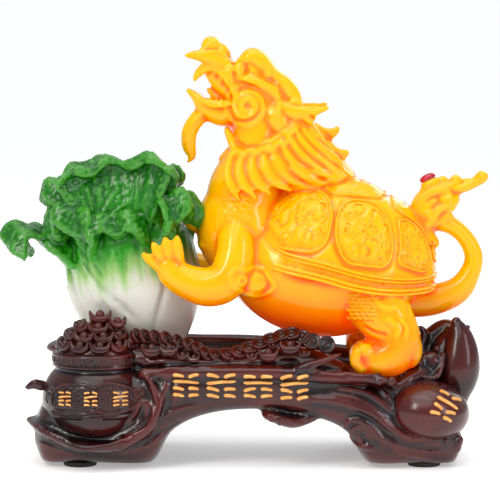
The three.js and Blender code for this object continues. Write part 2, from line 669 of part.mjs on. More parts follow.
function head() {
  return [
    figureBall([-24, 0, 82], [7.4, 7.2, 7.6], { wide: 7, high: 5 }),
    figureLimb(
      [
        [-24, 0, 82.6, 6.4, 6.6],
        [-30.4, 0, 86, 5.2, 5.6],
        [-35.2, 0, 90, 4.6, 4.8],
        [-38.8, 0, 93.8, 3.4, 4],
        [-40.6, 0, 96.2, 2.6, 3.4],
      ],
      { sides: 6, spans: 4 },
    ),
    figureLimb(
      [
        [-24, 0, 76, 4.4, 6.6],
        [-30.6, 0, 77.2, 3.8, 5.6],
        [-36.6, 0, 76.7, 3.2, 4.6],
        [-40.8, 0, 77.6, 2.5, 3.6],
        [-43.6, 0, 80.6, 1.6, 2.6],
        [-46, 0, 83.2, 0.5, 1],
      ],
      { sides: 5, spans: 5 },
    ),
    figureLimb(
      [
        [-40.6, 0, 76.4, 2.1, 2.6],
        [-44.2, 0, 72.6, 2.3, 2.4],
        [-45.7, 0, 68, 2.1, 2],
        [-45.1, 0, 64.2, 1.4, 1.4],
        [-46.2, 0, 61.8, 0.5, 0.5],
      ],
      { sides: 5, spans: 4 },
    ),
    figureLimb(
      [
        [-30, 0, 80, 1.6, 2.8],
        [-36, 0, 80.4, 1.2, 2.2],
        [-40, 0, 82.6, 0.6, 1.2],
      ],
      { sides: 4, spans: 2 },
    ),
    ...pair(
      [
        [-37.6, -2.2, 93.2, 1.9, 1.8],
        [-42.4, -3.2, 93.7, 1.3, 1.2],
        [-45.4, -3.8, 93.8, 0.8, 0.7],
        [-47.2, -4.4, 93.8, 0.3, 0.3],
      ],
      { sides: 4, spans: 2 },
    ),
    ...pair(
      [
        [-40, -2.4, 90.6, 1.6, 1.2],
        [-43, -2.7, 88.4, 1.1, 0.9],
        [-44.2, -2.8, 85.6, 0.3, 0.3],
      ],
      { sides: 4, spans: 2 },
    ),
    ...[-1, 1].map((side) => figureBall([-27.6, side * 4.4, 78.2], [5.6, 4.2, 5.6], { wide: 5, high: 4 })),
    ...pair(
      [
        [-31.4, -4.4, 92.4, 1, 1.6],
        [-28.6, -4.2, 95.2, 2, 2],
        [-25.4, -4.2, 94.6, 2.4, 2.4],
        [-22.4, -4.2, 91.2, 2.2, 2.6],
      ],
      { sides: 4, spans: 3 },
    ),
    ...pair(
      [
        [-22.6, -3.6, 90, 2.2, 2.2],
        [-18.2, -4.4, 85.6, 2.3, 2.3],
        [-15, -5, 82.4, 2.5, 2.4],
        [-12.8, -5.4, 79.6, 1.8, 1.8],
      ],
      { sides: 4, spans: 3 },
    ),
    ...pair(
      [
        [-21, -4.4, 79, 2, 1.8],
        [-12.6, -7.6, 77.6, 2.4, 1.4],
        [-8, -9, 78, 1.5, 1],
        [-4.6, -9.8, 79.2, 0.5, 0.5],
      ],
      { sides: 4, spans: 2 },
    ),
  ];
}

// Locks of the mane on each flank, as root, middle, tip and radius, with three fins on the crest.
const LOCKS = [
  [[-32, -8.2, 64], [-32.4, -10.8, 57], [-29.8, -12.8, 51.6], 2.8],
  [[-27.4, -9.2, 64], [-26, -11.6, 57.4], [-21.4, -12.8, 51.8], 3],
  [[-23, -9.6, 65.2], [-19.6, -11, 59], [-14, -10.8, 53.8], 3.1],
  [[-18.8, -9, 68.6], [-13.8, -9.4, 62], [-6.6, -7.6, 56.8], 3.1],
];
function mane() {
  const locks = LOCKS.flatMap(([root, middle, tip, r]) =>
    pair([[...root, r * 0.8, r * 0.9], [...middle, r, r], [...tip, 0.5, 0.8]], { sides: 4, spans: 2 }),
  );
  const fins = [
    [[-14, 0, 73, 3.6, 4], [-8.6, 0, 70.6, 3.2, 3.4], [-4.4, 0, 69.9, 2.2, 2.2], [-1.4, 0, 71.2, 0.6, 1]],
    [[-13, 0, 68, 4.4, 5], [-6, 0, 65.2, 3.8, 4], [-1.8, 0, 63.8, 2.6, 2.6], [1, 0, 64, 0.9, 1.2]],
    [[-10, 0, 62, 5, 6], [-4, 0, 60.2, 4, 5], [0, 0, 58.4, 2.6, 2.8], [2.4, 0, 57.6, 0.8, 1]],
  ].map((stations) => figureLimb(stations, { sides: 5, spans: 3 }));
  const beard = figureLimb([[-33, 0, 67, 3, 5], [-35, 0, 64.2, 2, 3.6], [-37, 0, 62.6, 0.6, 1]], { sides: 3, spans: 1 });
  const tuft = figureLimb([[-41, 0, 42.6, 2.6, 4], [-45, 0, 42.4, 1.5, 2.4], [-47.6, 0, 43.8, 0.4, 0.6]], {
    sides: 4,
    spans: 2,
  });
  return [...locks, ...fins, beard, tuft];
}

// The near paw lies on the front of the cabbage; the far one reaches round the back of it.
function forelegs() {
  const arm = [
    [-28, -11.5, 41, 6.6, 4.6],
    [-28.8, -14.6, 33.4, 6.8, 5],
    [-33, -16.4, 26.8, 6.4, 5.2],
    [-39.6, -16.4, 26, 6.3, 5.2],
    [-45, -15.6, 27, 5.6, 4.8],
    [-50.4, -15.4, 29.8, 4.8, 4.2],
    [-52.4, -15.8, 32.6, 4, 3.6],
  ];
  const fingers = [
    [[-53, -15.8, 31.6, 1.8], [-56, -16.6, 33.6, 1.7], [-58.4, -17, 35, 1.1]],
    [[-52.6, -16, 32.6, 1.8], [-54.6, -17, 36.4, 1.7], [-56, -17.4, 38.2, 1.1]],
    [[-51, -16, 33.4, 1.9], [-52, -17.2, 37.2, 1.8], [-52.4, -17.6, 39.6, 1.1]],
    [[-49, -15.6, 33, 1.9], [-49.1, -17, 37, 1.8], [-49.2, -17.4, 39.8, 1.1]],
  ];
  const far = (stations) =>
    stations.map(([u, v, w, r, s]) => {
      const spread = THREE.MathUtils.clamp((-u - 33) / 20, 0, 1);
      return [u, -v * (1 + 0.6 * spread), w, r, s];
    });
  const limbs = (stations, options) => [figureLimb(stations, options), figureLimb(far(stations), options)];
  return [
    ...limbs(arm, { sides: 6, spans: 6 }),
    ...fingers.flatMap((finger) => limbs(finger, { sides: 4, spans: 1 })),
  ];
}

function hindlegs(grow = 0) {
  const leg = [
    [6, -12.5, 24, 9, 6.6],
    [11.6, -15, 17.6, 8.4, 6.6],
    [15.8, -16.6, 11.4, 6.9, 6.2],
    [14.6, -HIND_FOOT_V, 6.4, 6.6, 6.4],
    [9.8, -HIND_FOOT_V, 4, 6, 6.4],
    [4.8, -HIND_FOOT_V, 3.2, 4.6, 5.8],
  ];
  const toes = series(3, (i) => [
    [5, -13.6 - 3.4 * i, 4.6, 2.6],
    [1.4 + 0.3 * i, -13.2 - 3.8 * i, 1.6, 2],
  ]);
  return [
    ...pair(leg, { sides: 6, spans: 5, grow }),
    ...toes.flatMap((toe) => pair(toe, { sides: 4, spans: 1, grow })),
  ];
}

// The gem sits on a boss at the tip of the tail, tipped towards the head.
const GEM_BOSS = [26.4, 0, 54.9];
const GEM_TIP = -25;
const GEM_STEP = 1.7; // from the middle of the boss to the seat of the gem

function tail() {
  const bend = [
    [15, 0, 20.6, 4.6, 5.4],
    [26.4, 0, 21.2, 4.3, 4.4],
    [34.2, 0, 24.2, 3.8, 4],
    [38.6, 0, 28.8, 3.1, 3.6],
    [39.4, 0, 33.4, 2.8, 3.2],
    [37.4, 0, 38.2, 2.6, 3],
    [33.4, 0, 42.2, 2.7, 3.4],
    [27.8, 0, 44.6, 3.4, 4],
  ];
  const plume = [
    [27.8, 0, 37.2, 1.6, 2.6],
    [24.8, 0, 40.6, 3, 4.6],
    [24.2, 0, 46.4, 4.4, 5.2],
    [26.6, 0, 51.6, 4, 5],
    [31.2, 0, 54.2, 3, 4],
    [36, 0, 54.4, 2.5, 3],
    [39.4, 0, 55.6, 2.2, 2.4],
    [41.6, 0, 57.4, 1.7, 1.8],
  ];
  const knobs = [
    [31, 56.6, 1.7],
    [35, 56.4, 1.7],
  ].map(([u, w, r]) => figureBall([u, 0, w], [r, r * 1.4, r], { wide: 5, high: 3 }));
  return [
    figureLimb(bend, { sides: 5, spans: 8 }),
    figureLimb(plume, { sides: 6, spans: 7 }),
    figureBall(GEM_BOSS, [3.2, 2.8, 2.2], { tilt: GEM_TIP, wide: 7, high: 4 }),
    ...knobs,
    ...[-1, 1].map((side) => figureBall([30.6, side * 3, 50.4], [2.6, 2, 2.4], { wide: 5, high: 3 })),
  ];
}

// A cabochon: a domed oval on a flat back. grow widens it into its socket.
function cabochon(grow = 0, height = GEM_HEIGHT) {
  const profile = [
    [0, 0],
    [1, 0],
    [1, 0.3],
    [0.72, 0.8],
    [0, 1],
  ];
  const [u, , w] = GEM_BOSS;
  const seat = turtleSpot([u + GEM_STEP * Math.sin(GEM_TIP * DEG), 0, w + GEM_STEP * Math.cos(GEM_TIP * DEG)]);
  return turned(profile, [0, 0, 0], 10)
    .scale(GEM_LENGTH / 2 + grow, GEM_WIDTH / 2 + grow, height)
    .rotateY(GEM_TIP * DEG)
    .translate(...seat);
}

function dragonTurtle(cabbageRoom) {
  const forms = [
    ...torso(),
    shell(),
    ...SCUTES.filter(([x]) => x > -0.7).map(scute),
    ...throatPlates(),
    ...head(),
    ...mane(),
    ...forelegs(),
    ...hindlegs(),
    ...tail(),
  ];
  return outerBody(cut(join(forms), [below(TURTLE_SEAT), cabochon(GAP, 40)]).subtract(cabbageRoom));
}

const resin = (color, roughness) => new THREE.MeshStandardMaterial({ color, roughness, metalness: 0 });
const MATERIALS = {
  stand: resin("#3a1416", 0.28),
  dragonTurtle: resin("#f79a06", 0.15),
  cabbage: resin("#3f9a3c", 0.2),
  gem: resin("#c4102a", 0.08),
  rubber: resin("#161616", 0.8),
};

function meshOf(name, body, material) {
  const { numProp, numVert, vertProperties, triVerts } = body.getMesh();
  const corners = new Float32Array(numVert * 3);
  for (let i = 0; i < numVert; i++) corners.set(vertProperties.subarray(i * numProp, i * numProp + 3), i * 3);
  const geometry = new THREE.BufferGeometry()
    .setAttribute("position", new THREE.BufferAttribute(corners, 3))
    .setIndex(new THREE.BufferAttribute(triVerts, 1));
  geometry.computeVertexNormals();
  const mesh = new THREE.Mesh(geometry, material);
  mesh.name = name;
  return mesh;
}

const cabbageBody = cabbage();
const cabbageRoom = cabbage(GAP).add(cabbageBody);
const turtleRoom = cut(join([...torso(GAP), ...hindlegs(GAP)]), [below(TURTLE_SEAT)]);

const ornament = new THREE.Group();
ornament.add(
  meshOf("stand", stand(cabbageRoom, turtleRoom), MATERIALS.stand),
  meshOf("cabbage", cabbageBody, MATERIALS.cabbage),
  meshOf("dragon_turtle", dragonTurtle(cabbageRoom), MATERIALS.dragonTurtle),
  meshOf("tail_gem", solid(cabochon()), MATERIALS.gem),
  ...pads().map(([name, pad]) => meshOf(name, pad, MATERIALS.rubber)),
);

// The origin is under the middle of the whole ornament, on the table.
const extent = new THREE.Box3().setFromObject(ornament);
const middle = extent.getCenter(new THREE.Vector3());
ornament.position.set(-middle.x, -middle.y, -extent.min.z);

export default ornament;
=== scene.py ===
"""Dragon turtle ornament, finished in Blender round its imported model.

Shapes are worked out in the maker's own millimetres, with the middle between the two figures as the origin,
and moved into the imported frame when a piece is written. -Y is the front and the dragon turtle faces -X.
"""

import logging
import math
from collections.abc import Sequence
from dataclasses import dataclass, field
from enum import Enum

import bpy
import numpy as np
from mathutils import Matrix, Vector
from mathutils.bvhtree import BVHTree


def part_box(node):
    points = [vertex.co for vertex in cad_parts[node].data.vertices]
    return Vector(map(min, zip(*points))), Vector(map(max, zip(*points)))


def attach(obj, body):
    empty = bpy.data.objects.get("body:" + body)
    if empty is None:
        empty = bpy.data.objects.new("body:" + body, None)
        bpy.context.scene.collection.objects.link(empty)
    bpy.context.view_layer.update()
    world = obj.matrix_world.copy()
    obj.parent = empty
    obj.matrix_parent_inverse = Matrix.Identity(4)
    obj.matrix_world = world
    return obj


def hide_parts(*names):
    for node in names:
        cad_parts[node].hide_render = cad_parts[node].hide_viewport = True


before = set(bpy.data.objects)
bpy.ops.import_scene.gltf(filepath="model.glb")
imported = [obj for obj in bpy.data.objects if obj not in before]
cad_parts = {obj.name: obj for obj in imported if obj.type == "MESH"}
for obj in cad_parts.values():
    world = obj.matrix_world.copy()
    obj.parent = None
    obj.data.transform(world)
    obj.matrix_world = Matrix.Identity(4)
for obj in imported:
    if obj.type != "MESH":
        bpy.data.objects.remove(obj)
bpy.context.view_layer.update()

Array = np.ndarray
Station = Sequence[float]

MM = 0.001
TAU = 2 * math.pi
VIEW_SLOPE = 0.105  # the front view looks down by this much for each unit of depth

log = logging.getLogger("ornament")


class Slot(Enum):
    """The record's material slots."""

    STAND = "stand_resin"
    AMBER = "amber_resin"
    CABBAGE = "cabbage_resin"
    GEM = "gem"
    GILT = "gilt"
    PAD = "pad_rubber"


# Arrays and surfaces


@dataclass
class Skin:
    """A closed surface of triangles, in millimetres.

    points is (n, 3), faces is (m, 3), and marks holds numbers per point.
    """

    points: Array
    faces: Array
    marks: dict[str, Array] = field(default_factory=dict)

    def marked(self, **marks: Array) -> "Skin":
        """The same surface with further numbers per point."""
        return Skin(self.points, self.faces, {**self.marks, **marks})

    def moved(self, points: Array) -> "Skin":
        """The same surface with its points in other places."""
        return Skin(points, self.faces, self.marks)

    def mirrored(self) -> "Skin":
        """The surface mirrored front to back, with its faces turned round to point outwards again."""
        return Skin(self.points * (1, -1, 1), self.faces[:, ::-1], self.marks)

    def normals(self) -> Array:
        """Unit normals per point: the area-weighted mean of the triangles round it."""
        a, b, c = (self.points[self.faces[:, k]] for k in range(3))
        face = np.cross(b - a, c - a)
        total = np.zeros_like(self.points)
        for axis in range(3):
            for corner in range(3):
                total[:, axis] += np.bincount(self.faces[:, corner], face[:, axis], len(self.points))
        return total / np.maximum(np.linalg.norm(total, axis=1, keepdims=True), 1e-9)


def joined(skins: Sequence[Skin]) -> Skin:
    """Several surfaces without marks as one, each still closed in itself."""
    offsets = np.cumsum([0] + [len(skin.points) for skin in skins])
    faces = [skin.faces + offset for skin, offset in zip(skins, offsets)]
    return Skin(np.concatenate([skin.points for skin in skins]), np.concatenate(faces))


def spline(knots: Array, t: Array) -> Array:
    """Points on a Catmull-Rom curve: the slope at a knot is half the step between its neighbours.

    Args:
        knots: (n, k) numbers, carried together.
        t: shares of the way, from 0 at the first knot to 1 at the last.

    Returns:
        (len(t), k) numbers.
    """
    padded = np.vstack([2 * knots[0] - knots[1], knots, 2 * knots[-1] - knots[-2]])
    way = np.clip(t, 0, 1) * (len(knots) - 1)
    index = np.minimum(way.astype(int), len(knots) - 2)
    f = (way - index)[:, None]
    a, b, c, d = (padded[index + k] for k in range(4))
    return 0.5 * (2 * b + (c - a) * f + (2 * a - 5 * b + 4 * c - d) * f**2 + (3 * b - a - 3 * c + d) * f**3)


def heading(knots: Array, t: Array) -> Array:
    """Unit directions along a Catmull-Rom curve, from points a small step before and after each share t."""
    step = 1e-3
    way = spline(knots, np.minimum(t + step, 1)) - spline(knots, np.maximum(t - step, 0))
    return way / np.linalg.norm(way, axis=1, keepdims=True)


def stepped(corners: Sequence[Station]) -> Array:
    """The corners of an angular line with two more points on each leg, so that it follows its ground."""
    spots = np.array(corners, float)
    return np.concatenate([*(np.linspace(a, b, 4)[:-1] for a, b in zip(spots, spots[1:])), spots[-1:]])


def circle(count: int) -> Array:
    """Unit directions in the plane at even steps round a circle."""
    angle = np.arange(count) * TAU / count
    return np.stack([np.cos(angle), np.sin(angle)], axis=1)


def smooth_step(low: float, high: float, x: Array) -> Array:
    """0 below low, 1 above high, and a cubic 3t² - 2t³ between them."""
    t = np.clip((x - low) / (high - low), 0, 1)
    return t * t * (3 - 2 * t)


def hash_noise(points: Array, seed: int) -> Array:
    """Smooth noise from -1 to 1: random numbers on a unit lattice, blended by cubic weights."""
    cell = np.floor(points).astype(np.int64)
    f = points - cell
    f = f * f * (3 - 2 * f)
    total = np.zeros(len(points))
    for corner in range(8):
        step = np.array([corner & 1, corner >> 1 & 1, corner >> 2 & 1])
        x, y, z = ((cell + step) * (73856093, 19349663, 83492791)).T
        mixed = (x ^ y ^ z ^ (seed * 2654435761)) & 0xFFFFFFF
        mixed = (mixed * 1103515245 + 12345) & 0xFFFFFFF
        value = (mixed >> 8 & 0xFFFF) / 32767.5 - 1
        total += value * np.prod(np.where(step == 1, f, 1 - f), axis=1)
    return total


def wrapped(rings: Array, first: Array, last: Array) -> Skin:
    """A closed surface over rings (rows, sides, 3) of equal count, with a fan to a pole at each end."""
    rows, sides, _ = rings.shape
    row, side = np.meshgrid(np.arange(rows - 1), np.arange(sides), indexing="ij")
    nxt = (side + 1) % sides
    a, b = row * sides + side, row * sides + nxt
    d, c = a + sides, b + sides
    quads = np.stack([a, b, c, a, c, d], axis=-1).reshape(-1, 3)
    ring = np.arange(sides)
    after = (ring + 1) % sides
    start, end = rows * sides, rows * sides + 1
    base = (rows - 1) * sides
    fan = np.stack([np.full(sides, start), after, ring], axis=1)
    cap = np.stack([np.full(sides, end), base + ring, base + after], axis=1)
    points = np.concatenate([rings.reshape(-1, 3), [first, last]])
    return outward(Skin(points, np.concatenate([quads, fan, cap])))


def outward(skin: Skin) -> Skin:
    """The surface with its faces turned so that the volume under them comes out positive."""
    a, b, c = (skin.points[skin.faces[:, k]] for k in range(3))
    if np.einsum("ij,ij->", a, np.cross(b, c)) < 0:
        skin.faces = skin.faces[:, ::-1]
    return skin


def limb(
    stations: Sequence[Station],
    sides: int = 20,
    spans: int = 0,
    blunt: float = 0.9,
    flutes: tuple[int, float] = (0, 0.0),
) -> Skin:
    """A closed tube: an ellipse carried along a Catmull-Rom curve, with quarter-round ends.

    Args:
        stations: [x, y, z, r, s] each, r the radius in the plane of the pose and s the radius along Y.
        sides: points round the ellipse.
        spans: rings along the curve, or 0 to take about one for each 1.5 mm.
        blunt: length of the rounded ends as a share of the end's radius.
        flutes: number and depth of the grooves along it, as a share of the radius.

    Returns:
        The closed surface.
    """
    knots = np.array([[*row, row[3]][:5] if len(row) == 4 else row for row in stations], float)
    length = np.linalg.norm(np.diff(knots[:, :3], axis=0), axis=1).sum()
    spans = spans or int(np.clip(length / 1.5, 8, 90))
    t = np.linspace(0, 1, spans + 1)
    path = spline(knots, t)
    tangent = heading(knots[:, :3], t)
    bend = np.linspace(0, 0.48 * math.pi, 5)[1:]
    head, tail = path[0], path[-1]
    before = -tangent[0] * blunt * head[3:].min()
    after = tangent[-1] * blunt * tail[3:].min()
    front = [np.hstack([head[:3] + before * np.sin(a), head[3:] * np.cos(a)]) for a in bend[::-1]]
    back = [np.hstack([tail[:3] + after * np.sin(a), tail[3:] * np.cos(a)]) for a in bend]
    path = np.vstack([front, path, back])
    tangent = np.vstack([np.repeat(tangent[:1], 4, axis=0), tangent, np.repeat(tangent[-1:], 4, axis=0)])
    along_y = np.array([0.0, 1.0, 0.0]) - tangent * tangent[:, 1:2]
    side = along_y / np.linalg.norm(along_y, axis=1, keepdims=True)
    up = np.cross(side, tangent)
    angle = np.arange(sides) * TAU / sides
    count, depth = flutes
    groove = 1 + depth * np.cos(count * angle) if count else np.ones(sides)
    rings = (
        path[:, None, :3]
        + up[:, None] * (path[:, 3, None] * np.cos(angle) * groove)[..., None]
        + side[:, None] * (path[:, 4, None] * np.sin(angle) * groove)[..., None]
    )
    return wrapped(rings, head[:3] + before, tail[:3] + after)


def ball(centre: Station, radii: Station, tilt: float = 0, rows: int = 24, sides: int = 32) -> Skin:
    """An ellipsoid with radii [x, y, z], turned about the Y axis by tilt degrees."""
    polar = np.linspace(0, math.pi, rows + 1)[1:-1]
    ring = np.pad(circle(sides), ((0, 0), (0, 1)))
    unit = ring[None] * np.sin(polar)[:, None, None]
    unit[..., 2] = np.cos(polar)[:, None]
    turn, scale = turned_about_y(tilt), np.array(radii, float)
    place = lambda q: (q * scale) @ turn.T + np.array(centre, float)
    return wrapped(place(unit), place(np.array([0, 0, 1.0])), place(np.array([0, 0, -1.0])))


def turned_about_y(degrees: float) -> Array:
    """The matrix that turns points about the Y axis."""
    c, s = math.cos(math.radians(degrees)), math.sin(math.radians(degrees))
    return np.array([[c, 0, s], [0, 1, 0], [-s, 0, c]])


def lathe(profile: Sequence[Station], centre: Station, sides: int = 96) -> Skin:
    """A turned surface: [radius, height] points, poles at both ends, swept round a vertical axis."""
    outline = np.array(profile, float)
    heights = np.repeat(outline[1:-1, None, 1:], sides, axis=1)
    rings = np.concatenate([outline[1:-1, None, :1] * circle(sides)[None], heights], axis=2)
    place = np.array(centre, float)
    return wrapped(rings + place, place + [0, 0, outline[0, 1]], place + [0, 0, outline[-1, 1]])


def rope(path: Array, radius: float | Array, sides: int = 8, lift: Array | None = None) -> Skin:
    """A thin round cord of resin along a path of points, for raised lines, with tapered ends.

    Args:
        path: (n, 3) points.
        radius: one radius, or one for each point.
        sides: points round it.
        lift: offset of every point, such as a share of the surface's normal.

    Returns:
        The closed surface.
    """
    points = path if lift is None else path + lift
    thick = np.broadcast_to(np.asarray(radius, float), (len(points),)).copy()
    thick[[0, -1]] *= 0.45
    tangent = np.gradient(points, axis=0)
    tangent /= np.maximum(np.linalg.norm(tangent, axis=1, keepdims=True), 1e-9)
    guide = np.where(np.abs(tangent[:, 1:2]) > 0.9, np.array([[1.0, 0, 0]]), np.array([[0, 1.0, 0]]))
    side = np.cross(tangent, guide)
    side /= np.linalg.norm(side, axis=1, keepdims=True)
    up = np.cross(side, tangent)
    angle = np.arange(sides) * TAU / sides
    rings = points[:, None] + thick[:, None, None] * (
        side[:, None] * np.cos(angle)[None, :, None] + up[:, None] * np.sin(angle)[None, :, None]
    )
    return wrapped(rings, points[0] - tangent[0] * thick[0], points[-1] + tangent[-1] * thick[-1])


# Blender steps on whole surfaces


def to_mesh(name: str, skin: Skin, unit: float = 1.0, shift: Array | None = None) -> bpy.types.Mesh:
    """Puts a surface into a new Blender mesh, with its marks as point attributes.

    Args:
        name: the mesh's name.
        skin: the surface.
        unit: length of one millimetre in the mesh's units.
        shift: offset in millimetres, applied first.

    Returns:
        The mesh, shaded smooth.
    """
    mesh = bpy.data.meshes.new(name)
    points = (skin.points if shift is None else skin.points + shift) * unit
    mesh.vertices.add(len(points))
    mesh.vertices.foreach_set("co", points.astype(np.float32).ravel())
    mesh.loops.add(skin.faces.size)
    mesh.loops.foreach_set("vertex_index", skin.faces.astype(np.int32).ravel())
    mesh.polygons.add(len(skin.faces))
    mesh.polygons.foreach_set("loop_start", np.arange(0, skin.faces.size, 3, dtype=np.int32))
    mesh.polygons.foreach_set("use_smooth", np.ones(len(skin.faces), bool))
    for mark, values in skin.marks.items():
        mesh.attributes.new(mark, "FLOAT", "POINT").data.foreach_set("value", values.astype(np.float32))
    mesh.update(calc_edges=True)
    return mesh


def from_mesh(mesh: bpy.types.Mesh) -> Skin:
    """The triangles of a Blender mesh as a surface, with its marks."""
    mesh.calc_loop_triangles()
    points = np.empty(len(mesh.vertices) * 3, np.float32)
    faces = np.empty(len(mesh.loop_triangles) * 3, np.int32)
    mesh.vertices.foreach_get("co", points)
    mesh.loop_triangles.foreach_get("vertices", faces)
    marks = {}
    for mark in mesh.attributes:
        if mark.data_type == "FLOAT" and mark.domain == "POINT":
            marks[mark.name] = np.empty(len(mesh.vertices), np.float32)
            mark.data.foreach_get("value", marks[mark.name])
    return Skin(points.reshape(-1, 3).astype(float), faces.reshape(-1, 3), marks)


def shown(name: str, data: bpy.types.ID) -> bpy.types.Object:
    """A new object with the given mesh, light or camera, put into the scene."""
    item = bpy.data.objects.new(name, data)
    bpy.context.scene.collection.objects.link(item)
    return item


def with_modifier(skin: Skin, kind: str, other: Skin | None = None, **settings: object) -> Skin:
    """The surface after one Blender modifier, worked on throw-away objects.

    Args:
        skin: the surface that carries the modifier.
        kind: the modifier's type.
        other: a second surface for a Boolean.
        settings: the modifier's settings.

    Returns:
        The surface that comes out.
    """
    made = [shown("blank", to_mesh("blank", body)) for body in (skin, other) if body is not None]
    modifier = made[0].modifiers.new("step", kind)
    if other is not None:
        modifier.object = made[1]
    for name, value in settings.items():
        setattr(modifier, name, value)
    evaluated = made[0].evaluated_get(bpy.context.evaluated_depsgraph_get())
    result = from_mesh(evaluated.to_mesh())
    evaluated.to_mesh_clear()
    for item in made:
        mesh = item.data
        bpy.data.objects.remove(item)
        bpy.data.meshes.remove(mesh)
    return result


def fused(skins: Sequence[Skin], voxel: float) -> Skin:
    """One closed surface round all of the given ones, rebuilt on a cubic grid of the voxel's size."""
    return with_modifier(joined(skins), "REMESH", mode="VOXEL", voxel_size=voxel, use_smooth_shade=True)


def united(skin: Skin, other: Skin) -> Skin:
    """The union of two closed surfaces, with sharp seams."""
    return with_modifier(skin, "BOOLEAN", other, operation="UNION", solver="MANIFOLD")


def thinned(skin: Skin, most: int) -> Skin:
    """The surface with no more than the given number of triangles, thinned first where it's flat."""
    if len(skin.faces) <= most:
        return skin
    return with_modifier(skin, "DECIMATE", decimate_type="COLLAPSE", ratio=most / len(skin.faces))


def neighbour_mean(values: Array, edges: Array) -> Array:
    """The mean of each point's neighbours, for one number or several to a point."""
    start, end = edges.T
    count = len(values)
    columns = values.reshape(count, -1).T
    total = [np.bincount(start, row[end], count) + np.bincount(end, row[start], count) for row in columns]
    degree = np.maximum(np.bincount(edges.ravel(), minlength=count), 1)
    return (np.stack(total, axis=1) / degree[:, None]).reshape(values.shape)


def pull(points: Array, edges: Array) -> Array:
    """How far the mean of its neighbours is from each point."""
    return neighbour_mean(points, edges) - points


def edges_of(skin: Skin) -> Array:
    """Every edge of the triangles once, as pairs of point numbers."""
    pairs = np.concatenate([skin.faces[:, pair] for pair in ([0, 1], [1, 2], [2, 0])])
    return np.unique(np.sort(pairs, axis=1), axis=0)


def relaxed(skin: Skin, soft: int, even: int) -> Skin:
    """The surface with its bumps melted: soft rounds move each point half way to the mean of its
    neighbours, and even rounds do so and then back by a little more, which smooths without shrinking."""
    edges = edges_of(skin)
    points = skin.points.copy()
    for _ in range(soft):
        points += 0.5 * pull(points, edges)
    for _ in range(even):
        points += 0.5 * pull(points, edges)
        points -= 0.52 * pull(points, edges)
    return skin.moved(points)


def hollowness(skin: Skin, rounds: int = 6) -> Array:
    """Positive in hollows and negative on ridges: the pull towards the neighbours along the normal,
    spread out by averaging over the neighbours for some rounds."""
    edges = edges_of(skin)
    value = np.einsum("ij,ij->i", pull(skin.points, edges), skin.normals())
    for _ in range(rounds):
        value = 0.5 * value + 0.5 * neighbour_mean(value, edges)
    return value


FRONT_UNIT = 0.75  # millimetres to a unit of the front view
FRONT_MIDDLE = 243.5  # across at which x is 0
FRONT_GROUND = 465.0  # down at which the table is seen under the front of the ornament
FRONT_DROP = 5.2  # millimetres that the table's middle is seen below that


def from_front(across: float, down: float, y: float) -> Array:
    """The point at depth y that is seen at [across, down] of the front view."""
    z = (FRONT_GROUND - down) * FRONT_UNIT - FRONT_DROP - VIEW_SLOPE * y
    return np.array([(across - FRONT_MIDDLE) * FRONT_UNIT, y, z])


@dataclass
class FrontView:
    """Draws on a surface as it is seen from the front.

    A drawing point is [across, down] in units of 0.75 mm. It is carried back along the line of sight,
    which falls by VIEW_SLOPE for each unit of depth, to where it first meets the surface.
    """

    skin: Skin
    behind: float = -160.0  # depth from which the search starts

    def __post_init__(self) -> None:
        """Sorts the surface's triangles for quick searching."""
        self.tree = BVHTree.FromPolygons(self.skin.points.tolist(), self.skin.faces.tolist())

    def hits(self, spots: Sequence[Station]) -> list[tuple[Array, Array]]:
        """Where drawing points meet the surface, with its normals, leaving out those that miss it."""
        way = Vector((0, 1, -VIEW_SLOPE)).normalized()
        found = [self.tree.ray_cast(Vector(from_front(*spot, self.behind)), way)[:2] for spot in spots]
        return [(np.array(spot), np.array(normal)) for spot, normal in found if spot is not None]

    def landed(self, spots: Sequence[Station]) -> Array:
        """Drawing points on the surface."""
        return np.array([spot for spot, _ in self.hits(spots)])

    def traced(self, drawing: Sequence[Station], count: int) -> tuple[Array, Array]:
        """A smooth line through drawing points, laid on the surface, and the surface's normals along it.

        Args:
            drawing: [across, down] points.
            count: points along the line.

        Returns:
            Points and normals, empty where the line misses.
        """
        hits = self.hits(spline(np.array(drawing, float), np.linspace(0, 1, count)))
        if len(hits) < 3:
            return np.empty((0, 3)), np.empty((0, 3))
        points, normals = (np.array(column) for column in zip(*hits))
        return points, normals


def carved(skin: Skin, lines: Sequence[tuple[Array, float, float]]) -> Skin:
    """The surface with ridges or grooves along lines.

    Each point moves along its normal by height * exp(-(d / width)²), d being its distance to the line,
    and the height fades over the last eighth of the line at both ends.

    Args:
        skin: the surface.
        lines: points of each line, its height and its half width in millimetres.

    Returns:
        The surface.
    """
    move = np.zeros(len(skin.points))
    for path, height, width in lines:
        if not len(path):
            continue
        reach = 2.6 * width
        within = (skin.points > path.min(axis=0) - reach) & (skin.points < path.max(axis=0) + reach)
        near = np.flatnonzero(within.all(axis=1))
        if not len(near):
            continue
        gap = np.linalg.norm(skin.points[near][:, None] - path[None], axis=2)
        closest = gap.argmin(axis=1)
        share = closest / (len(path) - 1)
        is_open = np.linalg.norm(path[0] - path[-1]) > 3
        fade = np.clip(np.minimum(share, 1 - share) * 8, 0.15, 1) if is_open else 1.0
        move[near] += height * fade * np.exp(-((gap.min(axis=1) / width) ** 2))
    return skin.moved(skin.points + skin.normals() * move[:, None])


# The dragon turtle

Spot = tuple[float, float, float]

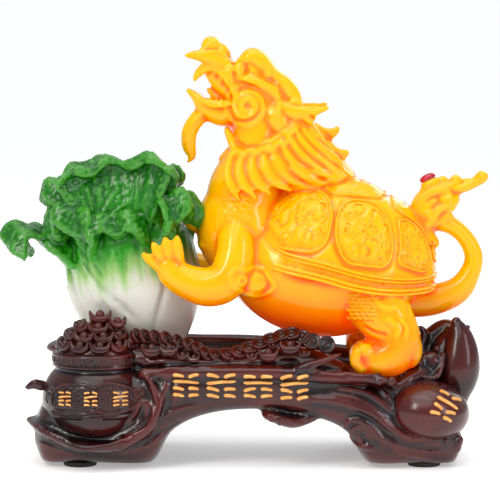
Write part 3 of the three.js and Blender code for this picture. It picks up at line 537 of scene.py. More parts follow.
# Limbs on the middle plane: points round each, and stations [u, v, w, radius in the plane, radius across].
LIMBS: dict[str, tuple[int, tuple[Station, ...]]] = {
    "throat": (48, (
        (-30, 0, 42, 12, 13), (-29, 0, 54, 11, 11.5), (-26.4, 0, 65, 7.6, 10), (-25, 0, 76, 8, 8.4),
    )),
    "nape": (40, (
        (-22, 0, 76, 5, 6.0), (-15.4, 0, 69.4, 6.6, 6.0), (-8.6, 0, 62.2, 7.0, 6.4),
        (-1, 0, 55.6, 5.6, 7.4),
    )),
    "snout": (32, (
        (-24, 0, 82.6, 6.2, 6.6), (-30.6, 0, 85.4, 4.5, 5.7), (-35.2, 0, 89.2, 4.0, 4.8),
        (-38.2, 0, 93.0, 3.2, 3.9), (-39.6, 0, 95.6, 2.8, 3.3),
    )),
    "jaw": (28, (
        (-24, 0, 75, 5.2, 6.6), (-30.6, 0, 76.2, 4.2, 5.4), (-36.6, 0, 76.2, 3.8, 4.5),
        (-40.8, 0, 77.8, 2.8, 3.6), (-43.6, 0, 81.0, 1.6, 2.6), (-46.2, 0, 83.2, 0.7, 1.2),
    )),
    "beard": (24, (
        (-39.6, 0, 77.2, 2.4, 2.8), (-43.2, 0, 74.6, 2.4, 2.6), (-45.6, 0, 70.6, 2.35, 2.3),
        (-45.8, 0, 66.4, 2.1, 1.9), (-45.0, 0, 63.6, 1.4, 1.3), (-46.2, 0, 61.6, 0.5, 0.5),
    )),
    "tongue": (20, (
        (-28, 0, 79.8, 1.6, 3.0), (-34, 0, 79.8, 1.2, 2.4), (-38, 0, 81.2, 0.9, 1.7),
        (-40.4, 0, 83.4, 0.5, 1.0),
    )),
    "palate": (20, (
        (-39.6, 0, 88.4, 1.8, 3.0), (-37, 0, 85.4, 2.4, 3.6), (-33.6, 0, 82.6, 2.6, 4.2),
        (-29, 0, 81, 2.6, 4.6),
    )),
    "crest_1": (24, (
        (-14, 0, 73, 3.4, 4), (-8.6, 0, 70.6, 2.9, 3.2), (-4.6, 0, 69.9, 2.0, 2.0),
        (-2.0, 0, 71.0, 1.25, 1.3), (-1.5, 0, 71.9, 0.8, 0.9),
    )),
    "crest_2": (24, (
        (-13, 0, 68, 4.4, 5), (-6, 0, 65.2, 3.8, 4), (-1.8, 0, 63.8, 2.4, 2.4), (0.6, 0, 64.1, 1.5, 1.6),
        (1.3, 0, 64.7, 0.9, 1.0),
    )),
    "crest_3": (24, (
        (-10, 0, 62, 5, 6), (-4, 0, 60.2, 4, 5), (0, 0, 58.4, 2.6, 2.8), (2.6, 0, 57.6, 1.2, 1.4),
    )),
    "throat_tip": (20, ((-30, 0, 66, 3, 5), (-33.6, 0, 64.4, 1.8, 3.6), (-36.8, 0, 62.6, 0.5, 0.8))),
    "tuft": (24, (
        (-40.4, 0, 42.2, 3.0, 4.4), (-44, 0, 42.2, 1.7, 2.6), (-46.6, 0, 43.2, 0.9, 1.2),
        (-47.8, 0, 44.2, 0.4, 0.5),
    )),
    "tail": (32, (
        (15, 0, 19.6, 4.9, 5.4), (26.4, 0, 20.0, 4.8, 4.4), (34.6, 0, 23.0, 4.1, 4),
        (38.6, 0, 28.8, 3.1, 3.6), (39.4, 0, 33.4, 2.8, 3.2), (37.4, 0, 38.2, 2.6, 3),
        (33.4, 0, 42.2, 2.7, 3.4), (27.8, 0, 44.6, 3.4, 4),
    )),
    "plume": (32, (
        (27.8, 0, 37.2, 1.6, 2.6), (24.8, 0, 40.6, 3, 4.6), (24.2, 0, 46.4, 4.2, 5),
        (26.6, 0, 51.2, 3.8, 4.6), (31.2, 0, 53.6, 2.5, 3.2), (36, 0, 54.1, 1.8, 2.4),
        (39.2, 0, 55.2, 1.5, 1.9), (41.2, 0, 56.7, 1.9, 1.9), (42, 0, 57.6, 1.7, 1.7),
    )),
    "plume_curl": (24, (
        (25.6, 0, 43.4, 2.2, 5.6), (28.4, 0, 47.4, 2.4, 5.6), (32.0, 0, 48.8, 2.2, 4.8),
        (33.6, 0, 50.6, 1.8, 4.0),
    )),
}

FLUTES = {"beard": (5, 0.08)}  # number and depth of the grooves along a limb

# Limbs that both flanks have, as on the near one.
PAIRS: dict[str, tuple[int, tuple[Station, ...]]] = {
    "lip": (20, (
        (-35.2, -3.2, 91.0, 1.9, 1.8), (-39.6, -3.4, 92.9, 2.0, 1.7), (-43.2, -3.6, 93.5, 1.55, 1.3),
        (-45.6, -4.0, 93.6, 1.0, 0.8), (-46.9, -4.4, 93.5, 0.55, 0.45),
    )),
    "lip_curl": (18, (
        (-37.4, -3.4, 90.6, 1.9, 1.4), (-40.8, -3.2, 90.0, 1.6, 1.2), (-43.0, -3.0, 88.2, 1.3, 1.0),
        (-44.0, -2.9, 86.6, 0.85, 0.7), (-44.0, -2.9, 85.6, 0.35, 0.35),
    )),
    "lip_side": (20, (
        (-38.4, -3.6, 90.4, 1.0, 0.9), (-35.0, -4.6, 87.2, 1.1, 0.9), (-32.6, -5.4, 83.8, 1.1, 0.9),
        (-31.8, -5.6, 81.0, 1.0, 0.8),
    )),
    "jaw_rim": (20, (
        (-44.4, -1.6, 82.0, 0.8, 0.7), (-41.0, -3.0, 79.9, 1.0, 0.9), (-37.0, -3.9, 79.2, 1.0, 0.9),
        (-33.0, -4.8, 79.4, 1.0, 0.9),
    )),
    "brow": (28, (
        (-31.4, -4.2, 89.2, 1.0, 1.4), (-29.6, -4.3, 91.6, 1.8, 2.1), (-27.2, -4.2, 93.2, 2.5, 2.6),
        (-24.2, -4.2, 91.8, 2.5, 2.7), (-21.6, -4.2, 88.8, 2.1, 2.5),
    )),
    "horn": (24, (
        (-22.6, -3.6, 90, 2.2, 2.2), (-19.6, -4.1, 87.0, 2.0, 2.1), (-17.6, -4.5, 85.2, 2.35, 2.3),
        (-15.2, -5, 82.6, 2.3, 2.3), (-13.6, -5.3, 80.2, 1.7, 1.7),
    )),
    "ear": (24, (
        (-21, -5.2, 79, 1.9, 1.6), (-16.4, -6.8, 77.6, 2.5, 1.6), (-12.2, -7.9, 76.9, 2.3, 1.3),
        (-8.4, -9, 77.5, 1.6, 1.0), (-5.6, -9.6, 78.2, 1.0, 0.8), (-4.6, -9.8, 78.6, 0.7, 0.6),
    )),
    "lid": (20, (
        (-32.2, -4.6, 90.2, 0.7, 0.8), (-30.6, -5.2, 92.2, 0.75, 0.8), (-28.6, -5.4, 91.6, 0.75, 0.8),
        (-27.6, -5.4, 89.8, 0.6, 0.6),
    )),
    "temple": (20, (
        (-31.4, -5.2, 87.6, 1.0, 0.9), (-27.4, -6.6, 86.8, 1.2, 1.1), (-23.0, -6.6, 84.6, 1.2, 1.2),
        (-19.6, -6.2, 81.6, 1.1, 1.1),
    )),
    "jaw_edge": (20, (
        (-34.6, -4.6, 71.4, 1.0, 1.2), (-31.4, -7.0, 65.4, 1.4, 1.6), (-26.0, -8.8, 65.8, 1.8, 1.9),
        (-21.0, -8.8, 67.6, 1.8, 1.9), (-16.6, -7.6, 70.8, 1.6, 1.7), (-14.2, -6.8, 73.4, 1.5, 1.5),
    )),
}

# Round forms of the head: middle, radii and turn. The skull's lie on the middle plane, the rest on both
# flanks.
SKULL = (
    ((-24, 0, 82), (7.4, 7.2, 7.6)), ((-39.2, 0, 96.2), (3.0, 3.5, 3.1), -20),
    ((-36.2, 0, 94.2), (3.2, 3.4, 2.7), 50),
)
FACE = (
    ((-27.6, -4.6, 78.2), (5.7, 4.3, 5.7)),  # cheek
    ((-30.8, -4.6, 89.5), (2.0, 2.0, 2.0)),  # eyeball
    ((-25.2, -3.4, 89.6), (4.2, 3.4, 4.0)),  # brow
    ((-10.4, -7.6, 75.4), (2.6, 1.3, 2.2), 20),
    ((-14.0, -6.6, 79.4), (2.4, 1.8, 2.0), 30),
    ((-17.6, -3.4, 82.0), (2.8, 3.0, 2.8)),
    ((-19.6, -6.4, 74.6), (3.4, 2.6, 5.0), -30),
    ((-11.0, -5.6, 55.6), (9.0, 4.8, 3.4), 8),  # under the mane
    ((-26.6, -14.8, 27.6), (5.4, 3.6, 5.0)),  # behind the elbow
    ((-3.2, -6.4, 57.4), (4.2, 3.2, 2.6)),
    ((-41.4, -2.3, 95.2), (1.3, 1.1, 1.2)),  # nostril
    ((-22.6, -5.4, 88.0), (2.0, 1.6, 1.6), 40),
    ((-19.4, -5.2, 84.4), (1.8, 1.6, 1.5), 40),
    ((-34.2, -4.6, 88.6), (1.7, 1.2, 2.4), 35),
)

# Curls of the fur along the jaw, as root and tip.
FUR = (
    ((-31.6, -7.4, 65.4), (-33.2, -9.0, 62.6)),
    ((-29.0, -8.4, 65.2), (-30.0, -10.2, 61.8)),
    ((-26.2, -8.8, 65.6), (-26.6, -10.6, 62.2)),
    ((-23.4, -8.9, 66.4), (-23.2, -10.6, 63.0)),
    ((-20.6, -8.7, 67.6), (-19.6, -10.2, 64.4)),
    ((-18.0, -8.2, 69.4), (-16.2, -9.2, 66.6)),
    ((-15.8, -7.2, 71.8), (-13.2, -7.8, 70.2)),
)

# Locks of the mane on each flank: points along the lock, its radius, and the number of its strands.
LOCKS = (
    (((-31.8, -8.2, 64.0), (-33.2, -10.6, 59.0), (-32.2, -12.6, 54.6), (-31.2, -13.6, 51.4)), 2.0, 3),
    (((-28.6, -9.0, 64.0), (-29.6, -11.4, 59.0), (-28.0, -12.8, 55.0), (-26.2, -13.4, 52.0)), 2.1, 3),
    (((-25.4, -9.4, 64.4), (-25.6, -11.8, 59.4), (-23.4, -12.4, 55.4), (-21.8, -12.2, 53.0)), 2.2, 3),
    (((-22.4, -9.4, 65.4), (-21.6, -11.6, 60.4), (-18.8, -11.6, 56.6), (-16.0, -10.8, 53.8)), 2.3, 3),
    (((-19.6, -9.0, 66.8), (-18.0, -11.0, 61.6), (-14.6, -10.4, 57.6), (-11.4, -9.4, 55.0)), 2.3, 3),
    (((-17.0, -8.6, 69.0), (-14.4, -10.6, 63.2), (-10.2, -10.4, 58.8), (-5.8, -9.0, 55.6)), 2.4, 3),
    (((-15.4, -7.8, 71.6), (-11.6, -9.8, 65.6), (-7.2, -9.6, 60.6), (-2.4, -8.4, 57.0)), 2.4, 3),
    (((-13.6, -6.6, 73.6), (-9.4, -8.6, 67.6), (-4.8, -8.8, 62.2), (0.2, -7.4, 57.6)), 2.3, 3),
    (((-12.0, -4.8, 73.6), (-7.2, -6.8, 67.4), (-2.6, -7.0, 62.4), (2.0, -4.6, 57.6)), 2.1, 3),
)

ARM = (
    (-29.6, -9.4, 46.6, 2.4, 2.4), (-31.6, -12.0, 41.0, 5.0, 4.6), (-32.2, -14.8, 34.0, 5.8, 5),
    (-34.6, -16.4, 28.0, 6.0, 5.2), (-39.6, -16.4, 26, 5.9, 5.1), (-45, -15.6, 27, 5.3, 4.7),
    (-50.0, -15.4, 29.6, 4.6, 4.1), (-52.0, -15.8, 32.2, 3.8, 3.5),
)
FINGERS = (
    (
        (-52, -15.8, 30.6, 2.0), (-55.4, -16.5, 32.8, 1.75), (-57.6, -17, 34.5, 1.45),
        (-58.9, -17.1, 35.6, 0.9),
    ),
    (
        (-52.0, -16, 32.0, 1.9), (-54.0, -17, 35.4, 1.75), (-55.4, -17.4, 37.6, 1.45),
        (-56.0, -17.5, 38.9, 0.9),
    ),
    (
        (-50.6, -16.2, 33.0, 1.9), (-51.6, -17.2, 36.6, 1.8), (-52.3, -17.6, 39.0, 1.45),
        (-52.5, -17.7, 40.4, 0.9),
    ),
    (
        (-48.6, -15.6, 32.8, 1.9), (-48.9, -17, 36.6, 1.8), (-49.1, -17.4, 39.4, 1.45),
        (-49.1, -17.5, 40.8, 0.9),
    ),
)
HIND_LEG = (
    (6, -12.5, 24, 9, 6.6), (11.6, -15, 17.6, 8.4, 6.6), (15.8, -16.6, 11.4, 6.9, 6.2),
    (14.6, -17, 6.4, 6.6, 6.4), (10.4, -17, 4.2, 5.8, 6.4), (7.2, -17, 4.0, 4.4, 5.8),
)

# Plates of the shell, as outlines on the dome unrolled flat: [along, across] from the crown at 0 to the
# rim at 1.
FLANK_PLATES = (
    (
        (-0.70, -0.25), (-0.51, -0.17), (-0.29, -0.31), (-0.21, -0.47), (-0.18, -0.62), (-0.20, -0.75),
        (-0.33, -0.79), (-0.58, -0.66), (-0.71, -0.45),
    ),
    (
        (-0.13, -0.50), (-0.08, -0.41), (0.07, -0.36), (0.19, -0.41), (0.29, -0.53), (0.36, -0.66),
        (0.34, -0.75), (0.25, -0.80), (0.04, -0.85), (-0.09, -0.76), (-0.14, -0.62),
    ),
    (
        (0.35, -0.47), (0.30, -0.36), (0.41, -0.25), (0.58, -0.24), (0.70, -0.29), (0.73, -0.41),
        (0.64, -0.54), (0.46, -0.64), (0.40, -0.55),
    ),
)
RIDGE_PLATES = (
    ((-0.66, 0.11), (-0.50, 0.11), (-0.34, 0.21), (-0.30, 0.0)),
    ((-0.27, 0.14), (-0.19, 0.35), (0.07, 0.28), (0.14, 0.13), (0.14, 0.0)),
    ((0.20, 0.13), (0.26, 0.26), (0.46, 0.17), (0.62, 0.15), (0.62, 0.0)),
    ((0.66, 0.13), (0.75, 0.16), (0.80, 0.0)),
)


def rounded_outline(corners: Sequence[Station], steps: int = 6) -> Array:
    """A closed smooth outline through corners: Catmull-Rom pieces, the last leading back to the first."""
    knots = np.array(corners, float)
    ring = np.concatenate([knots[-2:], knots, knots[:3]])
    count = len(knots)
    t = (np.arange(count * steps) / steps + 2) / (len(ring) - 1)
    return spline(ring, t)


def outline_distance(points: Array, outline: Array) -> Array:
    """Distance from each point to a closed outline, positive inside: the least distance to any edge, with
    the sign from how often a line to the right crosses the outline."""
    start, end = outline, np.roll(outline, -1, axis=0)
    way = end - start
    offset = points[:, None] - start[None]
    share = np.clip((offset * way).sum(-1) / np.maximum((way * way).sum(-1), 1e-12), 0, 1)
    distance = np.linalg.norm(offset - share[..., None] * way, axis=-1).min(axis=1)
    x, y = points[:, :1], points[:, 1:]
    crosses = (start[:, 1] > y) != (end[:, 1] > y)
    at = start[:, 0] + (y - start[:, 1]) * way[:, 0] / np.where(np.abs(way[:, 1]) < 1e-9, 1e-9, way[:, 1])
    inside = (crosses & (x < at)).sum(axis=1) % 2 == 1
    return np.where(inside, distance, -distance)


@dataclass
class Shell:
    """The domed shell, in hundredths of the figure's length, in a frame tilted down towards the tail."""

    scale: float
    origin: Array
    rise: float = 34.4
    tilt: float = 18.0
    long: float = 29.1
    wide: float = 23.0
    high: float = 22.0
    dip: float = 6.0
    sag: float = 5.0
    fullness: float = 0.55
    span: float = 82.0  # millimetres that one unit of the unrolled plan covers, for the relief
    # The rolled rim and the dished underside: share of the half sizes, and drop below the rim.
    rolled: tuple[tuple[float, float], ...] = (
        (1.008, 0.1), (1.016, 0.7), (1.018, 1.3), (1.008, 1.9), (0.97, 2.2), (0.9, 1.2), (0.8, -1.0),
    )

    def edge(self, x: Array, y: Array) -> Array:
        """Height of the rim towards x, y: lower at the flanks by dip and at the shoulders by sag."""
        reach = np.maximum(np.hypot(x, y), 1e-4)
        front, side = np.maximum(0, -x) / reach, np.abs(y) / reach
        return -self.dip * side**2 - self.sag * 2.6 * front**2 * side

    def height(self, x: Array, y: Array) -> Array:
        """Height of the dome: the rim's where rho is 1, then a full curve (1 - rho²)^fullness to the
        crown."""
        rho = np.minimum(1, x * x + y * y)
        edge = self.edge(x, y) * rho
        return edge + (self.high - edge) * (1 - rho) ** self.fullness

    def placed(self, x: Array, y: Array, z: Array) -> Array:
        """Points from the shell's own frame, x and y as shares of the half sizes, in millimetres."""
        c, s = math.cos(math.radians(self.tilt)), math.sin(math.radians(self.tilt))
        along = x * self.long
        spot = np.stack([along * c + z * s, y * self.wide, self.rise - along * s + z * c], axis=-1)
        return self.origin + spot * self.scale

    def on_dome(self, plan: Array, lift: float = 0.0) -> Array:
        """Points on the dome from its plan: the share m of the way to the rim lies at rho = sin(m * 90°)."""
        m = np.maximum(np.hypot(plan[:, 0], plan[:, 1]), 1e-6)
        rho = np.sin(np.minimum(m, 1) * math.pi / 2)
        x, y = plan[:, 0] / m * rho, plan[:, 1] / m * rho
        return self.placed(x, y, self.height(x, y) + lift)

    def normals(self, plan: Array) -> Array:
        """Outward unit normals on the dome, from the cross product of two small steps on the plan."""
        inner = plan * np.minimum(1, 0.985 / np.maximum(np.hypot(plan[:, 0], plan[:, 1]), 1e-6))[:, None]
        step = 0.01
        along = self.on_dome(inner + [step, 0]) - self.on_dome(inner - [step, 0])
        across = self.on_dome(inner + [0, step]) - self.on_dome(inner - [0, step])
        normal = np.cross(along, across)
        return normal / np.maximum(np.linalg.norm(normal, axis=1, keepdims=True), 1e-9)

    def plan_of(self, points: Array) -> tuple[Array, Array]:
        """Where points lie on the unrolled plan, and how far they are from the dome, in millimetres.

        Near the crown the share to the rim comes from the distance to the axis, and on the steep side
        from the height.
        """
        c, s = math.cos(math.radians(self.tilt)), math.sin(math.radians(self.tilt))
        u, v, w = ((points - self.origin) / self.scale).T
        w = w - self.rise
        along, z = u * c - w * s, u * s + w * c
        x, y = along / self.long, v / self.wide
        rho = np.hypot(x, y)
        edge = self.edge(x, y)
        share = np.clip((z - edge) / (self.high - edge), 0, 1)
        by_height = np.sqrt(np.clip(1 - share ** (1 / self.fullness), 0, 1))
        steep = smooth_step(0.75, 0.9, rho)
        mixed = np.clip(rho * (1 - steep) + by_height * steep, 0, 1)
        m = np.arcsin(mixed) * 2 / math.pi
        unit = np.stack([x, y], axis=1) / np.maximum(rho, 1e-6)[:, None]
        miss = np.minimum(np.abs(z - self.height(x, y)), np.abs(rho - by_height) * self.wide) * self.scale
        away = np.where((rho < 1.06) & (z > edge - 1.2), miss, 99.0)
        return unit * m[:, None], away

    def body(self) -> Skin:
        """The plain dome with a rolled rim and a dished underside."""
        unit = circle(180)
        rows = [self.on_dome(unit * m) for m in np.linspace(0.06, 0.985, 56)]
        for rho, drop in self.rolled:
            x, y = unit.T * rho
            rows.append(self.placed(x, y, self.edge(x, y) - drop))
        crown = self.on_dome(np.array([[1e-6, 0.0]]))[0]
        return wrapped(np.array(rows), crown, np.array(rows[-1]).mean(axis=0))

    def plates(self) -> list[Array]:
        """Outlines of all plates on the plan: each flank's, and those on the ridge, their own mirror."""
        flanks = [np.array(corners) * (1, side) for corners in FLANK_PLATES for side in (1, -1)]
        ridge = []
        for corners in RIDGE_PLATES:
            half = np.array(corners)
            other = half[::-1] * (1, -1)
            ridge.append(np.concatenate([half, other[other[:, 1] < -1e-6]]))
        return [*map(rounded_outline, flanks), *(rounded_outline(corners, 4) for corners in ridge)]

    def relief(self, plan: Array) -> Array:
        """Raised height over the plan, in millimetres: each plate swells from its edge, has a groove round it
        and carved clouds inside."""
        total = np.zeros(len(plan))
        for outline in self.plates():
            near = np.abs(plan - outline.mean(axis=0)).max(axis=1) < 0.55
            d = outline_distance(plan[near], outline) * self.span
            curls = np.abs(hash_noise(np.column_stack([plan[near] * 15.0, np.zeros(near.sum())]), 9))
            total[near] += 1.5 * smooth_step(0.0, 8.0, d) - 0.8 * np.exp(-(((d + 1.7) / 1.4) ** 2))
            total[near] += 1.5 * smooth_step(3.0, 7.0, d) * (curls - 0.3)
        return total

    def band_start(self, plan: Array) -> Array:
        """Share of the way to the rim at which the border band starts: nearer the crown in front."""
        front = np.clip(-plan[:, 0] / np.maximum(np.hypot(plan[:, 0], plan[:, 1]), 1e-6), 0, 1)
        return 0.905 - 0.1 * front**6

    def line(self, plan: Array, radius: float | Array, lift: float = 0.15) -> Skin:
        """A raised line along points of the plan."""
        return rope(self.on_dome(plan) + self.normals(plan) * lift, radius)

    def lines(self) -> list[Skin]:
        """The plates' raised outlines, the border's double line and its row of square keys."""
        made = []
        for outline in self.plates():
            closed = np.concatenate([outline, outline[:2]])
            made.append(self.line(closed, 0.75, 0.25))
            if abs(outline[:, 1].mean()) > 0.1:
                made += self.clouds(outline)
        angle = np.linspace(0, TAU, 220)
        unit = np.stack([np.cos(angle), np.sin(angle)], axis=1)
        for offset, radius in ((0.0, 1.0), (0.028, 0.7)):
            made.append(self.line(unit * (self.band_start(unit) + offset)[:, None], radius, 0.2))
        x, y = unit.T * 1.016
        for lift, radius in ((-0.2, 1.1), (-1.4, 1.2)):
            made.append(rope(self.placed(x, y, self.edge(x, y) + lift), radius))
        return made + self.keys()

    def clouds(self, outline: Array) -> list[Skin]:
        """Curled clouds in two rings round a plate's middle, with a flower of petals in the middle itself."""
        middle = outline.mean(axis=0)
        made = []
        room = min(np.ptp(outline, axis=0).min() / 0.5, 1.0)
        for share, count, size in ((0.66, 9, 0.05 * room), (0.34, 5, 0.042 * room)):
            places = outline[np.linspace(0, len(outline), count, endpoint=False).astype(int)]
            for k, place in enumerate(middle + (places - middle) * share):
                curl = spiral(place, 0.3 * size, size, -1.2 if k % 2 else 1.2, 140 * k)
                made.append(self.line(curl, size * self.span * np.linspace(0.24, 0.14, len(curl)), 1.2))
        for k in range(5):
            petal = middle + 0.036 * room * np.array([math.cos(k * TAU / 5), math.sin(k * TAU / 5)])
            made.append(self.line(spiral(petal, 0.019 * room, 0.019 * room, 1.0), 0.6 * room, 1.4))
        return made

    def keys(self, count: int = 22) -> list[Skin]:
        """Square keys along the front of the border band, each one line that turns inwards twice."""
        key = stepped([(0, 0), (0, 1), (0.74, 1), (0.74, 0.25), (0.34, 0.25), (0.34, 0.62)])
        made = []
        for k in range(count):
            angle = math.pi + (k - count / 2 + 0.1 + key[:, 0] * 0.86) * 0.105
            unit = np.stack([np.cos(angle), np.sin(angle)], axis=1)
            start = self.band_start(unit) + 0.042
            m = start + key[:, 1] * (0.972 - start) * 0.85
            made.append(self.line(unit * m[:, None], 0.5, 0.2))
        return made


def spiral(centre: Station, first: float, last: float, turns: float, start: float = 0.0) -> Array:
    """Drawing points of a spiral that goes from one radius to another while it turns."""
    angle = np.radians(start) + np.linspace(0, turns * TAU, int(12 * abs(turns)) + 6)
    radius = np.linspace(first, last, len(angle))
    return np.array(centre) + radius[:, None] * np.stack([np.cos(angle), np.sin(angle)], axis=1)


def scales(box: Station, size: float, turn: float) -> list[Array]:
    """Drawing points of arcs in staggered rows over a box, like the scales of a fish."""
    left, top, right, bottom = box
    angle = np.radians(np.linspace(0, 180, 9) + turn)
    arc = 0.46 * size * np.stack([np.cos(angle), np.sin(angle)], axis=1)
    made = []
    for k, down in enumerate(np.arange(top, bottom, 0.72 * size)):
        made += [arc + (across, down) for across in np.arange(left + size / 2 * (k % 2), right, size)]
    return made


# Soft lines of the dragon turtle as they are seen from the front: drawing points, height and half width.
DRAWN = (
    (spiral((246.5, 107.5), 4.5, 23, 2.4, 160), 1.5, 1.6),
    (spiral((246.5, 107.5), 0, 2, 1), -2.2, 2.2),
    (((274, 92), (278.5, 100), (278, 112), (271, 124)), 1.4, 1.6),
    (((197, 57), (214, 53), (226, 58), (231, 70), (231, 86), (235, 96)), 1.2, 1.4),
    (spiral((239.4, 70.5), 7.4, 7.4, 1.0), -0.9, 1.2),
    (
        (
            (230, 155), (237, 152), (244, 155), (250, 151), (257, 154), (263, 149), (271, 151), (277, 145),
            (286, 145), (288, 137), (294, 131), (298, 127),
        ),
        2.2, 1.7,
    ),
    (((291, 130), (299, 146), (313, 160), (330, 171)), -1.3, 1.4),
    (((296, 126), (308, 143), (325, 158), (342, 170)), -1.3, 1.4),
    (((301, 120), (314, 136), (331, 150), (343, 160)), -1.3, 1.4),
    (((306, 114), (320, 128), (333, 141)), -1.2, 1.4),
    (((284, 137), (291, 152), (303, 164), (318, 172)), -1.2, 1.4),
    (((276, 142), (281, 156), (291, 168)), -1.0, 1.3),
    (((238, 79), (252, 83), (266, 86), (280, 93)), 1.2, 1.5),
    (((262, 56), (270, 68), (281, 80), (292, 92)), 1.1, 1.5),
    (((252, 66), (262, 74), (272, 83)), -0.9, 1.4),
    (((287, 104), (300, 107), (312, 110), (322, 107)), -1.2, 1.6),
    (((200, 98), (210, 106), (222, 107), (234, 104)), 1.0, 1.2),
    (((232, 141), (250, 148), (268, 143), (284, 134)), -1.2, 1.8),
    (
        (
            (230, 276), (237, 268.5), (247, 270), (254, 266.5), (263, 270), (269, 278), (273.6, 286.6),
            (265, 294), (254, 296), (243, 292), (234, 286), (230, 276),
        ),
        0.9, 1.4,
    ),
    (spiral((242, 280), 1.5, 6.5, 1.4, 90), 0.8, 1.2),
    (spiral((258, 281), 2.5, 8.5, 1.4, 0), 0.7, 1.2),
    (((369, 294), (376.7, 304), (386.9, 308), (396, 306)), 1.0, 1.5),
    (((383, 317), (394.5, 325.8), (393.3, 336)), 1.0, 1.4),
    (((395.8, 316.9), (403.5, 327), (402, 338)), 0.9, 1.4),
    (((399.6, 292.7), (406, 303), (408.6, 316.9)), 0.9, 1.5),
    (((360, 324), (372, 331), (386, 333)), -0.9, 1.6),
    (((350, 340), (356, 346), (359, 354), (359, 361)), -1.0, 1.2),
    (((357, 336), (364, 342), (368, 350)), -0.8, 1.2),
    (((415, 210), (420, 199), (429, 192), (440, 190), (448, 194), (449, 200), (444, 202)), 1.9, 1.7),
    (((424, 203), (431, 198), (439, 198)), -1.3, 1.4),
    (((433, 222), (437, 212), (446, 205), (456, 203)), 1.1, 1.3),
    (((442, 224), (446, 214), (455, 208)), 1.0, 1.2),
    (((455, 190), (466, 186), (478, 180)), 1.0, 1.2),
    (((438, 238), (446.6, 241), (454, 250), (455, 263), (448, 273)), 0.9, 1.4),
)
# Scales on the chest and the near hind leg, as boxes of the front view, and their size.
SCALES = ((227, 190, 252, 222, 7.5, 25), (348, 292, 374, 318, 5.5, 0))


